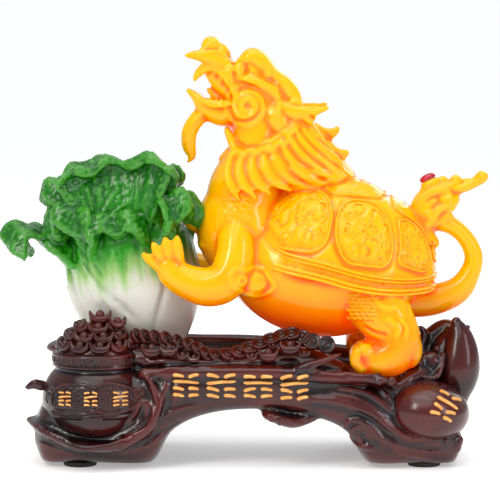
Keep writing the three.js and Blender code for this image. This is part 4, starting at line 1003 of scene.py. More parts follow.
@dataclass
class DragonTurtle:
    """The amber casting. Its forms are given in hundredths of its length: u towards the tail, v away from the
    viewer and w up from the soles, measured from under the middle of the shell."""

    length: float = 250.0
    x: float = 74.0
    seat: float = 68.0
    voxel: float = 1.25
    soft_rounds: int = 3

    def __post_init__(self) -> None:
        """Works out the scale and the shell."""
        self.scale = self.length / 100
        self.origin = np.array([self.x, 0.0, self.seat])
        self.shell = Shell(self.scale, self.origin)

    def limb(self, stations: Sequence[Station], **options: object) -> Skin:
        """A limb from stations in hundredths."""
        size = self.scale
        rows = [[*self.origin + np.array(s[:3]) * size, s[3] * size, s[-1] * size] for s in stations]
        return limb(rows, **options)

    def ball(self, centre: Spot, radii: Spot, tilt: float = 0) -> Skin:
        """An ellipsoid in hundredths."""
        size = np.array(radii) * self.scale
        count = int(np.clip(size.max() * 0.9, 12, 60))
        return ball(self.origin + np.array(centre) * self.scale, size, tilt, count, int(count * 1.5))

    def both(self, skin: Skin) -> list[Skin]:
        """A form and its mirror on the other flank."""
        return [skin, skin.mirrored()]

    def trunk(self) -> list[Skin]:
        """Belly, chest, rump and the plates down the throat."""
        forms = [
            self.ball((-9.5, 0, 28.5), (26.5, 20.5, 18.8), 15),
            self.ball((-30.5, 0, 42), (13.2, 14.5, 16)),
            self.ball((8, 0, 26.5), (15, 16, 11), 12),
        ]
        for t in np.linspace(0, 1, 6):
            u = -33.2 - 8.0 * math.sin(t * math.pi / 2)
            forms.append(self.ball((u, 0, 58.5 - 21 * t), (2.3, 7.4, 2.4), 28 - 30 * t))
        return forms

    def head(self) -> list[Skin]:
        """Skull, cheeks, muzzle, eyes and teeth."""
        forms = [self.ball(*spot) for spot in SKULL]
        singles = [self.ball(*spot) for spot in FACE]
        for i in range(4):
            u, v, w = -39.2 + 1.7 * i, -3.0 - 0.5 * i, 81.2 - 0.15 * i
            singles.append(self.limb([(u, v, w - 1.6, 0.6), (u - 0.2, v, w + 0.4, 0.25)], sides=10, spans=4))
        for i in range(3):
            u, v, w = -38.4 + 1.9 * i, -3.3 - 0.4 * i, 87.2 - 1.5 * i
            singles.append(self.limb([(u, v, w + 0.9, 0.6), (u - 0.3, v, w - 1.0, 0.25)], sides=10, spans=4))
        for form in singles:
            forms += self.both(form)
        return forms

    def lock(self, points: Sequence[Spot], radius: float, strands: int) -> list[Skin]:
        """A lock of hair: strands side by side that draw together towards the tip."""
        knots = np.array(points, float)
        way = np.gradient(knots, axis=0)
        side = np.cross(way, (0.35, -1.0, 0.3))
        side /= np.linalg.norm(side, axis=1, keepdims=True)
        share = np.linspace(0, 1, len(knots))
        spread = radius * 0.78 * (1 - 0.8 * share**1.6)
        thick = radius * 0.62 * (0.85 + 0.5 * share - 1.15 * share**3)
        made = []
        for k in range(strands):
            offset = 2 * k / (strands - 1) - 1
            line = knots + side * (spread * offset)[:, None]
            line[-1] += (0.5 * offset * radius, 0, 0.3 * radius * (abs(offset) - 0.5))
            rows = [(*p, max(r, 0.3), max(r, 0.3)) for p, r in zip(line, thick)]
            made.append(self.limb(rows, sides=14))
        return made

    def mane(self) -> list[Skin]:
        """The locks on both flanks and the curls along the jaw."""
        forms = []
        for points, radius, strands in LOCKS:
            for strand in self.lock(points, radius, strands):
                forms += self.both(strand)
        for root, tip in FUR:
            middle = (np.array(root) + np.array(tip)) / 2 + (0.3, -0.5, 0.2)
            curl = self.limb([(*root, 1.8, 1.6), (*middle, 1.5, 1.4), (*tip, 0.5, 0.5)], sides=16)
            forms += self.both(curl)
        return forms

    def far(self, stations: Sequence[Station]) -> list[Station]:
        """The far arm: the near one mirrored and spread towards the paw, to reach behind the cabbage."""
        rows = []
        for station in stations:
            spread = min(max((-station[0] - 33) / 20, 0), 1)
            rows.append((station[0], -station[1] * (1 + 0.6 * spread), *station[2:]))
        return rows

    def legs(self) -> list[Skin]:
        """Forelegs with their paws, and hind legs with flat soles."""
        forms = [self.limb(ARM, sides=36), self.limb(self.far(ARM), sides=36)]
        for finger in FINGERS:
            forms += [self.limb(finger, sides=20), self.limb(self.far(finger), sides=20)]
        forms += self.both(self.limb(HIND_LEG, sides=40))
        forms += self.both(self.ball((8.2, -16.6, 5.2), (6.6, 6.4, 5.3), -12))
        forms += self.both(self.ball((17.2, -16.6, 9.6), (5.6, 5.4, 8.4), -24))
        for i in range(4):
            v = -12.6 - 2.9 * i
            toe = [(6.6, v, 7.8, 2.4, 1.9), (4.4, v - 0.3, 6.8, 2.2, 1.85)]
            toe += [(3.6, v - 0.4, 4.4, 2.0, 1.7), (5.2, v - 0.4, 2.0, 1.6, 1.4)]
            forms += self.both(self.limb(toe, sides=20))
        return forms

    def tail_trim(self) -> list[Skin]:
        """The boss under the gem, the knobs and the hair fan of the tail."""
        forms = [self.ball((26.4, 0, 54.9), (3.2, 2.8, 2.2), -25)]
        for u, w, r in ((30.2, 56.6, 1.2), (34.0, 56.2, 1.8), (37.6, 55.6, 1.4), (41.8, 57.2, 2.0)):
            forms.append(self.ball((u, 0, w), (r, r * 1.3, r)))
        forms += self.both(self.ball((25.8, -4.0, 46.4), (1.9, 1.8, 1.8)))
        forms += self.both(self.ball((30.8, -3.2, 50.6), (2.2, 1.7, 1.9)))
        for i in range(4):
            a = math.radians(25 + 24 * i)
            tip = (28.2 + 5.6 * math.cos(a), -2.6, 44.2 + 4.2 * math.sin(a))
            middle = ((27.4 + tip[0]) / 2, -3.5, (43.4 + tip[2]) / 2 + 0.4)
            hair = self.limb([(27.4, -3.4, 43.4, 1.1), (*middle, 0.9), (*tip, 0.4)], sides=12)
            forms += self.both(hair)
        return forms

    def cast_body(self) -> Skin:
        """All forms melted into one skin, with the shell's plates raised."""
        forms = [self.shell.body(), *self.trunk(), *self.head(), *self.mane()]
        forms += [*self.legs(), *self.tail_trim()]
        for name, (sides, stations) in LIMBS.items():
            forms.append(self.limb(stations, sides=sides, flutes=FLUTES.get(name, (0, 0.0))))
        for sides, stations in PAIRS.values():
            forms += self.both(self.limb(stations, sides=sides))
        skin = relaxed(fused(forms, self.voxel), self.soft_rounds, 4)
        plan, away = self.shell.plan_of(skin.points)
        on_shell = 1 - smooth_step(1.6, 3.2, away)
        skin.points += skin.normals() * (self.shell.relief(plan) * on_shell)[:, None]
        return skin

    def soles(self, skin: Skin) -> Skin:
        """The body with everything under the seat pressed flat on to it."""
        skin.points[:, 2] = np.maximum(skin.points[:, 2], self.seat)
        return skin

    def build(self) -> Skin:
        """The finished surface with its marks, one of them painted shade: 0 where it is thin and lit, 1 where
        it is thick and in shade.
        """
        skin = self.soles(self.cast_body())
        view = FrontView(skin)
        near = [(view.traced(points, 140)[0], high, wide) for points, high, wide in DRAWN]
        skin = carved(skin, near + [(path * (1, -1, 1), high, wide) for path, high, wide in near])
        skin = united(self.soles(skin), joined([*self.shell.lines(), *self.scales(FrontView(skin))]))
        return self.tinted(skin)

    def scales(self, view: FrontView) -> list[Skin]:
        """Small raised arcs on the chest and the hind legs of both flanks."""
        arcs = [arc for *box, size, turn in SCALES for arc in scales(box, size, turn)]
        count, most_step = 12, 3.0  # an arc that jumps further has slipped off the flank
        thick = 0.7 * np.sin(np.linspace(0.5, 2.64, count))
        made = []
        for path in (view.traced(arc, count)[0] for arc in arcs):
            if len(path) == count and np.linalg.norm(np.diff(path, axis=0), axis=1).max() < most_step:
                made += self.both(rope(path, thick, 6))
        return made

    def tinted(self, skin: Skin) -> Skin:
        """Adds the marks that the resin's colour follows: hollow, and a mark of painted shade that is high on
        undersides and in hollows and low on tops, over a tone that warms towards the bottom.
        """
        normal = skin.normals()
        hollow = np.clip(hollowness(skin) / 0.05, -1, 1)
        height = (skin.points[:, 2] - self.seat) / self.length
        under = smooth_step(0.1, 1.0, -normal[:, 2])
        low = 1 - smooth_step(0.02, 0.42, height)
        # painted shade: undersides and hollows are painted warmer and darker and tops lighter, over a tone
        # that warms towards the bottom
        warmth = 0.17 + 0.3 * low + 0.42 * under * (0.55 + 0.45 * low) + 0.32 * hollow - 0.1 * normal[:, 2]
        return skin.marked(warmth=np.clip(warmth, 0, 1), hollow=hollow)


# The cabbage


@dataclass(frozen=True)
class Leaf:
    """One leaf of the cabbage. Angles are in degrees and lengths are shares of the cabbage's height."""

    azimuth: float
    reach: float  # of the tip, from the axis
    crest: float  # height of its highest fold
    hang: float  # of the tip below the crest
    half: float  # half of its width, as an angle seen from the axis
    waves: float = 2.5  # folds across its margin
    roll: float = 0.06  # how far the margin rolls back under itself


LEAVES = (
    Leaf(-96, 0.37, 0.73, 0.08, 27, 1.6),
    Leaf(-137, 0.42, 0.80, 0.10, 25),
    Leaf(178, 0.585, 0.72, 0.06, 23, 1.5, 0.03),
    Leaf(-172, 0.40, 0.64, 0.02, 26, 1.0, 0.01),
    Leaf(135, 0.40, 0.84, 0.12, 28),
    Leaf(80, 0.38, 0.80, 0.16, 30),
    Leaf(28, 0.31, 0.76, 0.12, 24),
    Leaf(-42, 0.44, 0.78, 0.10, 17, 2.0),
    Leaf(-164, 0.37, 0.92, 0.09, 30, 2.0, 0.04),
    Leaf(-46, 0.24, 0.97, 0.07, 20, 1.5, 0.03),
    Leaf(-14, 0.30, 0.89, 0.06, 13, 1.5, 0.03),
    Leaf(130, 0.25, 0.97, 0.07, 62, 4.0, 0.03),
)

# Outline of the bulb of stalks: radius and height, as shares of the cabbage's height.
STALK = (
    (0.16, -0.08), (0.175, -0.04), (0.192, 0.01), (0.264, 0.14),
    (0.322, 0.32), (0.315, 0.46), (0.29, 0.62), (0.2, 0.76),
)

# Veins and creases of the stalks as they are seen from the front: drawing points, height and half width.
VEINS = (
    (((64, 232), (85, 254), (108, 279)), -1.0, 1.2),
    (((52, 259), (59, 274), (68, 290)), 0.9, 1.2),
    (((63, 268), (74, 293), (87, 320)), 0.7, 1.3),
    (((72, 260), (87, 281), (102, 308)), 0.9, 1.5),
    (((84, 262), (97, 284), (108, 312)), -0.7, 1.4),
    (((95, 256), (103, 268), (112, 284)), 0.7, 1.0),
    (((115, 252), (112, 262), (113, 278)), 0.8, 1.0),
    (((122, 250), (123, 262), (127, 279)), 0.7, 1.0),
    (((134, 247), (132, 262), (132, 282)), 0.8, 1.0),
    (((143, 243), (145, 262), (149, 288)), 0.8, 1.1),
    (((152, 243), (155, 260), (160, 284)), 0.6, 1.0),
    (((104, 300), (112, 316), (122, 332)), -0.6, 1.6),
    (((95, 222), (88, 206), (76, 188)), 0.9, 1.2),
    (((97, 220), (93, 202), (88, 184)), 0.8, 1.1),
    (((99, 220), (101, 202), (102, 184)), 0.8, 1.1),
    (((101, 221), (110, 204), (120, 188)), 0.9, 1.2),
    (((104, 224), (120, 210), (136, 198)), 0.8, 1.1),
)


def sheet(outer: Array, inner: Array) -> Skin:
    """A closed sheet between two grids (rows, columns, 3) of equal size, with a strip round its edge."""
    rows, columns, _ = outer.shape
    ring = np.concatenate([outer, inner[:, ::-1]], axis=1)
    sides = 2 * columns
    row, side = np.meshgrid(np.arange(rows - 1), np.arange(sides), indexing="ij")
    a, b = row * sides + side, row * sides + (side + 1) % sides
    d, c = a + sides, b + sides
    wall = np.stack([a, b, c, a, c, d], axis=-1).reshape(-1, 3)
    k = np.arange(columns - 1)
    a, b, c, d = k, k + 1, sides - 2 - k, sides - 1 - k
    start = np.stack([a, c, b, a, d, c], axis=-1).reshape(-1, 3)
    end = start[:, ::-1] + (rows - 1) * sides
    return outward(Skin(ring.reshape(-1, 3), np.concatenate([wall, start, end])))


def thick_sheet(middle: Array, thickness: Array, front: Array, back: Array) -> Skin:
    """A closed sheet grown to both sides of a grid of points along its normals.

    Args:
        middle: (rows, columns, 3) points.
        thickness: whole thickness at each point, or one number.
        front: relief added on the side of the normals.
        back: relief added on the other side.

    Returns:
        The closed surface.
    """
    normal = np.cross(np.gradient(middle, axis=1), np.gradient(middle, axis=0))
    normal /= np.maximum(np.linalg.norm(normal, axis=2, keepdims=True), 1e-9)
    ahead, behind = (thickness / 2 + relief for relief in (front, back))
    return sheet(middle + normal * ahead[..., None], middle - normal * behind[..., None])


@dataclass
class Cabbage:
    """The green and white casting: a bulb of thick stalks that opens into ruffled, blistered leaves."""

    x: float = -74.0
    y: float = 16.0
    height: float = 154.0
    lean: float = 9.0
    seat: float = 76.0
    thickness: float = 4.4
    voxel: float = 1.3

    def placed(self, points: Array) -> Array:
        """Points from the cabbage's own upright frame, leaned and set on its seat."""
        return points @ turned_about_y(-self.lean).T + (self.x, self.y, self.seat)

    def own(self, points: Array) -> Array:
        """Points carried back into the cabbage's own upright frame."""
        return (points - (self.x, self.y, self.seat)) @ turned_about_y(-self.lean)

    def veins(self, t: Array, s: Array) -> Array:
        """Raised height of the veins in millimetres over a leaf, t along it and s across it: a midrib
        that thins towards the tip and side veins that leave it upwards, each with a bell-shaped
        section."""
        width = 30.0
        rib = (2.4 - 1.9 * t) * np.exp(-((s * width / (5.0 - 3.6 * t)) ** 2))
        for start in (0.18, 0.32, 0.45, 0.57, 0.68, 0.78):
            along = (t - start) * self.height * 0.95
            across = np.abs(s) * width
            away = np.abs(across - along * 0.62) * 0.85
            rib = rib + 0.75 * np.exp(-((away / 1.3) ** 2)) * (along > 0) * (1 - 0.5 * t)
        return rib

    def leaf(self, form: Leaf) -> Skin:
        """A sheet that follows the stalk, leans out to its crest, hangs over and rolls in at the margin."""
        reach, crest, hang, roll = form.reach, form.crest, form.hang, form.roll
        knots = np.array(
            [
                (0.2, 0.12),
                (min(0.28, reach), 0.45),
                (reach * 0.72, crest * 0.9),
                (reach * 0.9, crest),
                (reach, crest - hang * 0.85),
                (reach - roll * 0.5, crest - hang),
                (reach - roll, crest - hang * 0.9 + roll * 0.2),
            ]
        )
        s = np.linspace(-1, 1, 72)[None, :]
        u = np.linspace(0.02, 1, 84)[:, None]
        end = 0.97 - 0.16 * s**4 + 0.02 * np.sin(form.waves * 4 * s + form.azimuth)
        t = u * end
        flat = t.ravel()
        line, way = spline(knots, flat), heading(knots, flat)
        rho, rise = (line[:, k].reshape(t.shape) for k in (0, 1))
        out, up = (way[:, k].reshape(t.shape) for k in (0, 1))
        share = np.minimum(t * 1.35, 1.0)
        margin = smooth_step(0.45, 1.0, t) + 0.7 * smooth_step(0.5, 1.0, np.abs(s)) * share
        frill = 0.028 * share**2 * np.sin(2.2 * math.pi * s + form.azimuth)
        ruffle = 2.4 * margin * np.sin(form.waves * math.pi * s + 1.7 * form.azimuth + 3 * t)
        ruffle = ruffle + 1.0 * margin * np.sin(2.3 * form.waves * math.pi * s + form.azimuth - 9 * t)
        ruffle = ruffle + 1.0 * smooth_step(0.5, 1.0, np.abs(s)) * share * np.sin(21 * t + form.azimuth)
        angle = math.radians(form.azimuth) + s * math.radians(form.half) * (0.8 + 0.3 * share)
        radius = (rho * (1 - 0.1 * share * s * s) + frill) * self.height + ruffle * up
        z = (rise - 0.12 * share**2 * s * s + frill) * self.height - ruffle * out
        middle = self.placed(np.stack([radius * np.cos(angle), radius * np.sin(angle), z], axis=-1))
        rib = self.veins(t, s)
        return thick_sheet(middle, self.thickness - 0.6 + 1.4 * margin, rib, 0.5 * rib)

    def heart(self) -> Skin:
        """The tall middle leaf: it shows its cupped inner face, with its top rolled forward."""
        knots = np.array(
            [
                (-20, 74), (-30, 88), (-36, 101), (-37, 114), (-34, 127),
                (-30, 138), (-28.6, 146), (-32, 150.2), (-36, 148.8), (-36, 145.0),
            ],
            float,
        )
        s = np.linspace(-1, 1, 80)[None, :]
        t = np.linspace(0, 1, 96)[:, None] * np.ones_like(s)
        line, way = spline(knots, t.ravel()), heading(knots, t.ravel())
        y, z = (line[:, k].reshape(t.shape) for k in (0, 1))
        dy, dz = (way[:, k].reshape(t.shape) for k in (0, 1))
        fan = 16 + 27 * smooth_step(0.0, 0.7, t)
        across = s * fan
        wave = 2.2 * smooth_step(0.4, 1.0, t) * np.sin(7.0 * s + 1.0)
        wave = wave + 1.2 * smooth_step(0.5, 1, t) * np.sin(15 * s)
        rib = np.zeros_like(t)
        for slope in (-1.15, -0.8, -0.5, -0.22, 0.03, 0.28, 0.55, 0.85, 1.15):
            away = (s - slope * 0.8) * fan
            rib = rib + 1.0 * np.exp(-((away / 1.2) ** 2)) * (1 - smooth_step(0.62, 0.8, t))
        bowl = -0.010 * across**2 * smooth_step(0, 0.5, t)
        lobes = 3.0 * smooth_step(0.55, 0.75, t) * np.cos(9.0 * s + 0.4)
        y, z = y + bowl - wave * dz, z + wave * dy - 0.004 * across**2 + lobes
        return thick_sheet(self.placed(np.stack([across, y, z], axis=-1)), self.thickness, rib, rib)

    def stalk(self) -> Skin:
        """The bulb: stalks side by side round the axis, with a groove where one overlaps the next."""
        h = self.height
        t = np.linspace(0, 1, 90)
        radius, z = spline(np.array(STALK), t).T * h
        angle = np.arange(220) * TAU / 220
        bend = np.ones((len(t), len(angle)))
        for start, slope, low, high in (
            (-118, -0.9, 20, 110),
            (-58, 0.45, 10, 110),
            (8, 0.3, 0, 110),
            (82, -0.3, 0, 110),
            (150, 0.4, 0, 110),
            (205, -0.5, 0, 110),
        ):
            where = np.radians(start + slope * (z - 60))[:, None]
            miss = np.angle(np.exp(1j * (angle[None] - where)))
            fade = (smooth_step(low, low + 25, z) * (1 - smooth_step(high - 10, high, z)))[:, None]
            groove = np.exp(-((miss / 0.055) ** 2))
            swell = smooth_step(-0.55, -0.05, miss) * (miss < 0)
            bend -= fade * (0.045 * groove - 0.03 * swell)
        fine = 0.004 * np.cos(34 * angle)[None] * smooth_step(40, 90, z)[:, None]
        rings = radius[:, None] * (bend + fine)
        levels = np.broadcast_to(z[:, None], rings.shape)
        points = np.stack([rings * np.cos(angle), rings * np.sin(angle), levels], axis=-1)
        poles = self.placed(np.array([[0, 0, z[0]], [0, 0, z[-1] + 4]]))
        return wrapped(self.placed(points), *poles)

    def build(self) -> Skin:
        """The finished surface, with marks: green from 0 on the white stalk to 1, and hollow."""
        h = self.height
        crown = ball((0, 0, 0), (0.25 * h, 0.25 * h, 0.17 * h), 0, 40, 60)
        crown.points = self.placed(crown.points + (0, 0.03 * h, 0.72 * h))
        skin = relaxed(fused([self.stalk(), crown, self.heart(), *map(self.leaf, LEAVES)], self.voxel), 2, 3)
        green = self.greenness(skin.points)
        coarse = np.abs(hash_noise(skin.points / 4.4, 3))
        small = np.abs(hash_noise(skin.points / 2.3 + 31, 5))
        skin.points += skin.normals() * (green**2 * (0.9 * coarse + 0.8 * small - 0.45))[:, None]
        view = FrontView(skin)
        skin = carved(skin, [(view.traced(points, 60)[0], high, wide) for points, high, wide in VEINS])
        skin.points[:, 2] = np.maximum(skin.points[:, 2], self.seat)
        hollow = np.clip(hollowness(skin, 3) / 0.07, -1, 1)
        return skin.marked(green=green, hollow=hollow)

    def greenness(self, points: Array) -> Array:
        """Green rises along the cabbage and with the distance from its bulb, streaked by noise, and the front
        face of the heart leaf is made paler as painted light.
        """
        own = self.own(points)
        rho = np.hypot(own[:, 0], own[:, 1])
        streak = hash_noise(own * (0.22, 0.22, 0.03), 11)
        level = own[:, 2] + 0.7 * np.maximum(0, rho - 0.33 * self.height) + 7 * streak
        across, up = own[:, 0] / (0.2 * self.height), (own[:, 2] - 0.72 * self.height) / (0.13 * self.height)
        # painted light: the front face of the heart leaf is made paler, as if lit
        face = np.exp(-(across**2) - up**2) * (own[:, 1] < 0) * (own[:, 1] > -0.29 * self.height)
        return smooth_step(0.3 * self.height, 0.7 * self.height, level) * (1 - 0.3 * face)


# The stand

# Raised folds of the stand as they are seen from the front: drawing points, then height and half width in
# millimetres. A negative height is a groove.
FOLDS: dict[str, tuple[tuple[Station, ...], float, float]] = {
    "beam_edge": (
        (
            (158, 369), (170, 367), (182, 366), (225, 364.4), (261, 364.4), (298, 366), (318, 369),
            (334, 371),
        ),
        1.5, 1.7,
    ),
    "coin_lip": (
        ((140, 366), (151, 362), (161, 360), (179, 359), (208, 361), (237, 361.5), (256, 360), (290, 361)),
        1.6, 2.0,
    ),
    "beam_left": (((170, 376), (166, 388), (163, 402), (158, 414), (150, 424)), 1.5, 2.2),
    "beam_hollow": (((177, 374), (173, 388), (170, 402), (166, 414)), -1.2, 3.0),
    "leg_line_1": (((160, 417), (170, 411), (183, 406), (200, 403)), 0.9, 1.3),
    "leg_line_2": (((144, 444), (158, 431.5), (172, 424), (184, 417)), -1.1, 1.4),
    "leg_line_3": (((120, 449), (140, 446), (158, 438), (172, 428)), 0.8, 2.0),
    "trough": (((337, 370), (351, 373), (366, 374), (379, 373), (390, 373)), 2.0, 1.8),
    "trough_low": (((343, 376.3), (364, 377.6), (376.5, 381.4), (386, 388), (392, 393)), 1.6, 1.7),
    "flow_1": (((345, 381.4), (364, 382.7), (376.5, 386.5), (389, 399.3)), 1.5, 1.6),
    "flow_2": (((330, 385), (352, 388), (368, 393), (382, 403), (391, 411)), 1.5, 1.8),
    "flow_3": (((322, 391), (345, 394), (362, 400), (376, 409), (390, 419)), 1.2, 1.8),
    "flow_dip": (((330, 388.5), (352, 391), (366, 396), (380, 406), (392, 415)), -1.2, 1.5),
    "great_fold": (
        (
            (296, 396.7), (320, 396.7), (338, 399.3), (354, 404.4), (371, 412), (387, 424.8), (402, 432.4),
            (421, 434.4), (440, 430),
        ),
        3.4, 2.6,
    ),
    "under_fold": (((352, 408), (368, 416), (382, 427), (396, 435)), -1.6, 2.0),
    "scroll_outer": (
        ((346, 429), (343.6, 423), (347.2, 418), (356, 417.2), (366, 422.2), (375, 432.4), (383, 443)), 2.2,
        1.7,
    ),
    "scroll_inner": (
        (
            (366, 428), (360, 424), (353, 424), (349.5, 429), (351, 436), (357, 442), (366, 445),
            (374, 446.5),
        ),
        2.0, 1.6,
    ),
    "scroll_eye": (((357, 430), (361, 436), (366, 440)), -2.2, 2.2),
    "fringe_1": (((386.7, 438.8), (408, 446.5), (440, 450)), 1.6, 1.4),
    "fringe_2": (((392, 435.5), (415, 441.5), (441, 442)), 1.6, 1.3),
    "fringe_3": (((404, 436), (424, 438.5), (442.9, 436.3)), 1.4, 1.2),
    "fringe_4": (((386, 443), (404, 451), (430, 455)), 1.2, 1.4),
    "cup_lip": (
        (
            (35.5, 429.2), (45.8, 428.4), (55.5, 431.4), (68.5, 435.7), (77.2, 441.5), (88, 444.5),
            (102, 443.3), (114, 441.6), (125, 437.5), (136, 432),
        ),
        2.6, 2.2,
    ),
    "cup_line": (((38, 437), (50, 439), (62, 444), (75, 449), (90, 450.5), (104, 449)), -1.0, 1.6),
    "left_scroll": (((149, 395), (156.3, 407.6), (153, 420.6), (140, 430.3), (114, 436)), 2.2, 1.7),
    "left_scroll_in": (
        (
            (127, 422.7), (138, 410.8), (142, 402), (147.7, 400), (149.8, 407.6), (147.7, 418.4),
            (134.7, 427), (116, 434),
        ),
        1.9, 1.4,
    ),
    "left_scroll_eye": (((143.5, 406), (142, 413), (137, 419)), -1.8, 1.6),
    "knot": (((123, 446), (126, 444), (128.5, 446.5), (127, 449.5), (123.5, 449), (123, 446)), 1.2, 0.9),
    "knot_tail": (((112, 451), (118, 449.5), (123, 449)), 0.8, 0.9),
    "arch_line": (((176, 430), (195, 419.5), (218, 414), (249, 409.5), (264, 412)), 0.9, 1.6),
    "bracket_curl": (((268, 424), (270, 419), (275, 417), (279, 420), (277, 424)), 1.5, 1.3),
    "bracket_line": (((274, 413), (283, 416), (296, 420), (312, 421)), 1.0, 1.4),
}

# Coins of the string as they are seen from the front: across, down, and depth in millimetres.
COINS = (
    (139, 336, -36), (147.3, 336.5, -38), (157, 337, -39), (168, 338.4, -41), (180, 341.5, -43),
    (190, 344.5, -45),
    (199.4, 348, -47), (208, 352.5, -49), (218, 354.4, -50), (229, 353, -50), (239.5, 350.6, -49),
    (250, 346.5, -48),
    (260, 342.5, -46), (270.5, 338, -44), (281, 334.5, -42), (291, 333, -42), (301, 336.5, -43),
    (311, 340.5, -45),
    (325, 343.5, -48),
)
# The framed panel on the pot, and the lines round it.
PANEL = (
    (61, 386), (66.4, 382.6), (75, 381), (86, 381.5), (95.6, 383.7), (98.9, 385), (103, 382.1), (113, 380.5),
    (124, 382.1), (132.5, 385.3), (139, 390.2), (143, 396), (139, 403.2), (133.6, 406.5), (125, 408.6),
    (113, 410.3), (102, 408.1), (96.7, 407.4), (91, 410.1), (77.2, 410.8), (67.5, 408.6), (61, 407),
    (57, 402), (57, 391), (61, 386),
)
PANEL_LINES = (
    ((55, 409), (66, 413), (80, 414.6), (97, 412.6), (113, 414.4), (126, 413.6), (136, 410)),
    ((60, 387), (57.6, 384.6), (54.6, 386), (55, 389), (57.6, 389)),
    ((140, 389), (143, 386), (146, 387.6), (145.6, 391), (143, 391.4)),
    ((52, 391), (50, 396), (51.6, 401)),
)

# Ways that the coins face along the string.
COIN_FACES = (
    (0.72, -0.42, 0.55), (0.7, -0.42, 0.58), (0.5, -0.45, 0.74), (0.1, -0.5, 0.85), (-0.2, -0.5, 0.84),
    (0.1, -0.93, 0.36),
)

# Loose ingots in front of the string: across, down, depth, length and turn.
LOOSE_INGOTS = (
    (153.7, 351.5, -55, 15.0, 6), (171, 351, -57, 13.5, -10), (184, 355.5, -60, 9.0, 20),
    (195, 358, -61, 8.5, -15),
    (268, 355.5, -59, 14.0, 0), (273, 347, -50, 8.0, 25), (289.5, 348.5, -57, 15.0, -6),
    (303, 354, -58, 8.5, 12),
    (136, 355, -46, 11.0, 40), (252, 356.5, -60, 8.0, -30),
)

# Where the signs stand, as [left, top, right, bottom] of the front view, their turn in degrees and their
# rows.
BEAM_SIGNS = (
    (175, 370, 200, 396, 0, 4), (208, 370, 236, 397, 0, 4), (244, 371, 272, 397, 0, 4),
    (280, 371, 307, 399, 0, 4),
)
POT_SIGNS = ((64, 388, 76, 403.5, 0, 4), (89, 388, 102, 403.5, 0, 4), (117, 388, 131, 403.5, 0, 4))
GOURD_SIGNS = ((429, 389, 452, 417, 28, 4),)


def aimed(skin: Skin, centre: Array, normal: Station, spin: float = 0.0) -> Skin:
    """A form made upright at the origin, turned so that its axis points along normal, and moved to centre."""
    axis = np.array(normal, float) / np.linalg.norm(normal)
    side = np.cross((0, 1, 0), axis)
    side /= np.linalg.norm(side)
    other = np.cross(axis, side)
    c, s = math.cos(math.radians(spin)), math.sin(math.radians(spin))
    basis = np.stack([c * side + s * other, -s * side + c * other, axis])
    return skin.moved(skin.points @ basis + centre)


@dataclass
class Pot:
    """The treasure pot: a squat turned body under a straight collar with square keys, heaped with ingots."""

    x: float = -109.0
    y: float = -37.0
    foot: float = 22.0
    radius: float = 40.0
    height: float = 52.0  # from its foot to the collar
    collar: float = 32.0
    collar_height: float = 11.0
    key_count: int = 21

    def body(self) -> Skin:
        """The turned body: a smooth belly, a tucked neck, and a collar with a rounded brim at both edges."""
        belly = ((0.6, 0), (0.78, 0.09), (0.9, 0.24), (1.0, 0.5), (0.95, 0.74), (0.86, 0.88), (0.75, 0.97))
        curve = spline(np.array(belly), np.linspace(0, 1, 40)) * (self.radius, self.height)
        top, r = self.height + self.collar_height, self.collar
        low = self.height
        band = [(r - 1.6, low + 0.2), (r - 0.2, low + 0.8), (r + 0.5, low + 1.7), (r, low + 2.6)]
        brim = [(r, top - 2.6), (r + 0.5, top - 1.7), (r + 0.2, top - 0.6), (r - 1.2, top)]
        brim += [(r - 3, top - 0.6), (0, top - 0.6)]
        return lathe([(0, 0), *curve.tolist(), *band, *brim], (self.x, self.y, self.foot), 128)

    def keys(self) -> list[Skin]:
        """Square keys round the collar between two lines, each one line that turns inwards."""
        key = stepped([(0, 0), (0, 1), (0.8, 1), (0.8, 0.2), (0.3, 0.2), (0.3, 0.65), (0.55, 0.65)])
        low, high = self.foot + self.height + 3.4, self.foot + self.height + self.collar_height - 3.2
        made = []
        for k in range(self.key_count):
            angle = (k + key[:, 0] * 0.82) * TAU / self.key_count
            z = low + key[:, 1] * (high - low)
            x, y = self.x + self.collar * np.cos(angle), self.y + self.collar * np.sin(angle)
            made.append(rope(np.stack([x, y, z], axis=1), 0.62, 6))
        return made

    def heap(self) -> Skin:
        """A dome of treasure that fills the pot, for the ingots to lie on."""
        brim = self.foot + self.height + self.collar_height
        r = self.collar
        steps = ((0, -4), (0.88, -4), (0.86, 2), (0.7, 7), (0.46, 15), (0.2, 21), (0, 24))
        return lathe([(r * share, z) for share, z in steps], (self.x, self.y, brim), 40)

    def ingots(self) -> list[Skin]:
        """Rings of ingots, each higher and narrower than the last, and two on top."""
        brim = self.foot + self.height + self.collar_height
        made = []
        for count, reach, rise, first in ((11, 26.0, 3.6, -81), (9, 20.5, 10.0, -72), (6, 13.0, 16.0, -80)):
            for k in range(count):
                angle = math.radians(first + 360 * k / count)
                spot = (self.x + reach * math.cos(angle), self.y + reach * math.sin(angle), brim + rise)
                made += ingot(spot, 14.5, math.degrees(angle) + 90)
        made += ingot((self.x + 3.4, self.y - 4, brim + 23.5), 16.0, 6)
        made += ingot((self.x + 16.5, self.y - 9, brim + 20.5), 13.0, 30)
        return made

    def lug(self) -> list[Skin]:
        """The knobbed handle on the left."""
        spots = (
            (-41, 0, 37, 5.4, 5.4, 4.2), (-46, -1, 38, 4.4, 4.4, 3.6), (-50, -1, 36.2, 3.0, 3.2, 2.4),
            (-52.5, -1, 35.2, 1.6, 2, 1.4), (-44.5, -3, 41, 2.2, 2.6, 1.8),
        )
        return [ball((self.x + x, self.y + y, self.foot + z), radii) for x, y, z, *radii in spots]


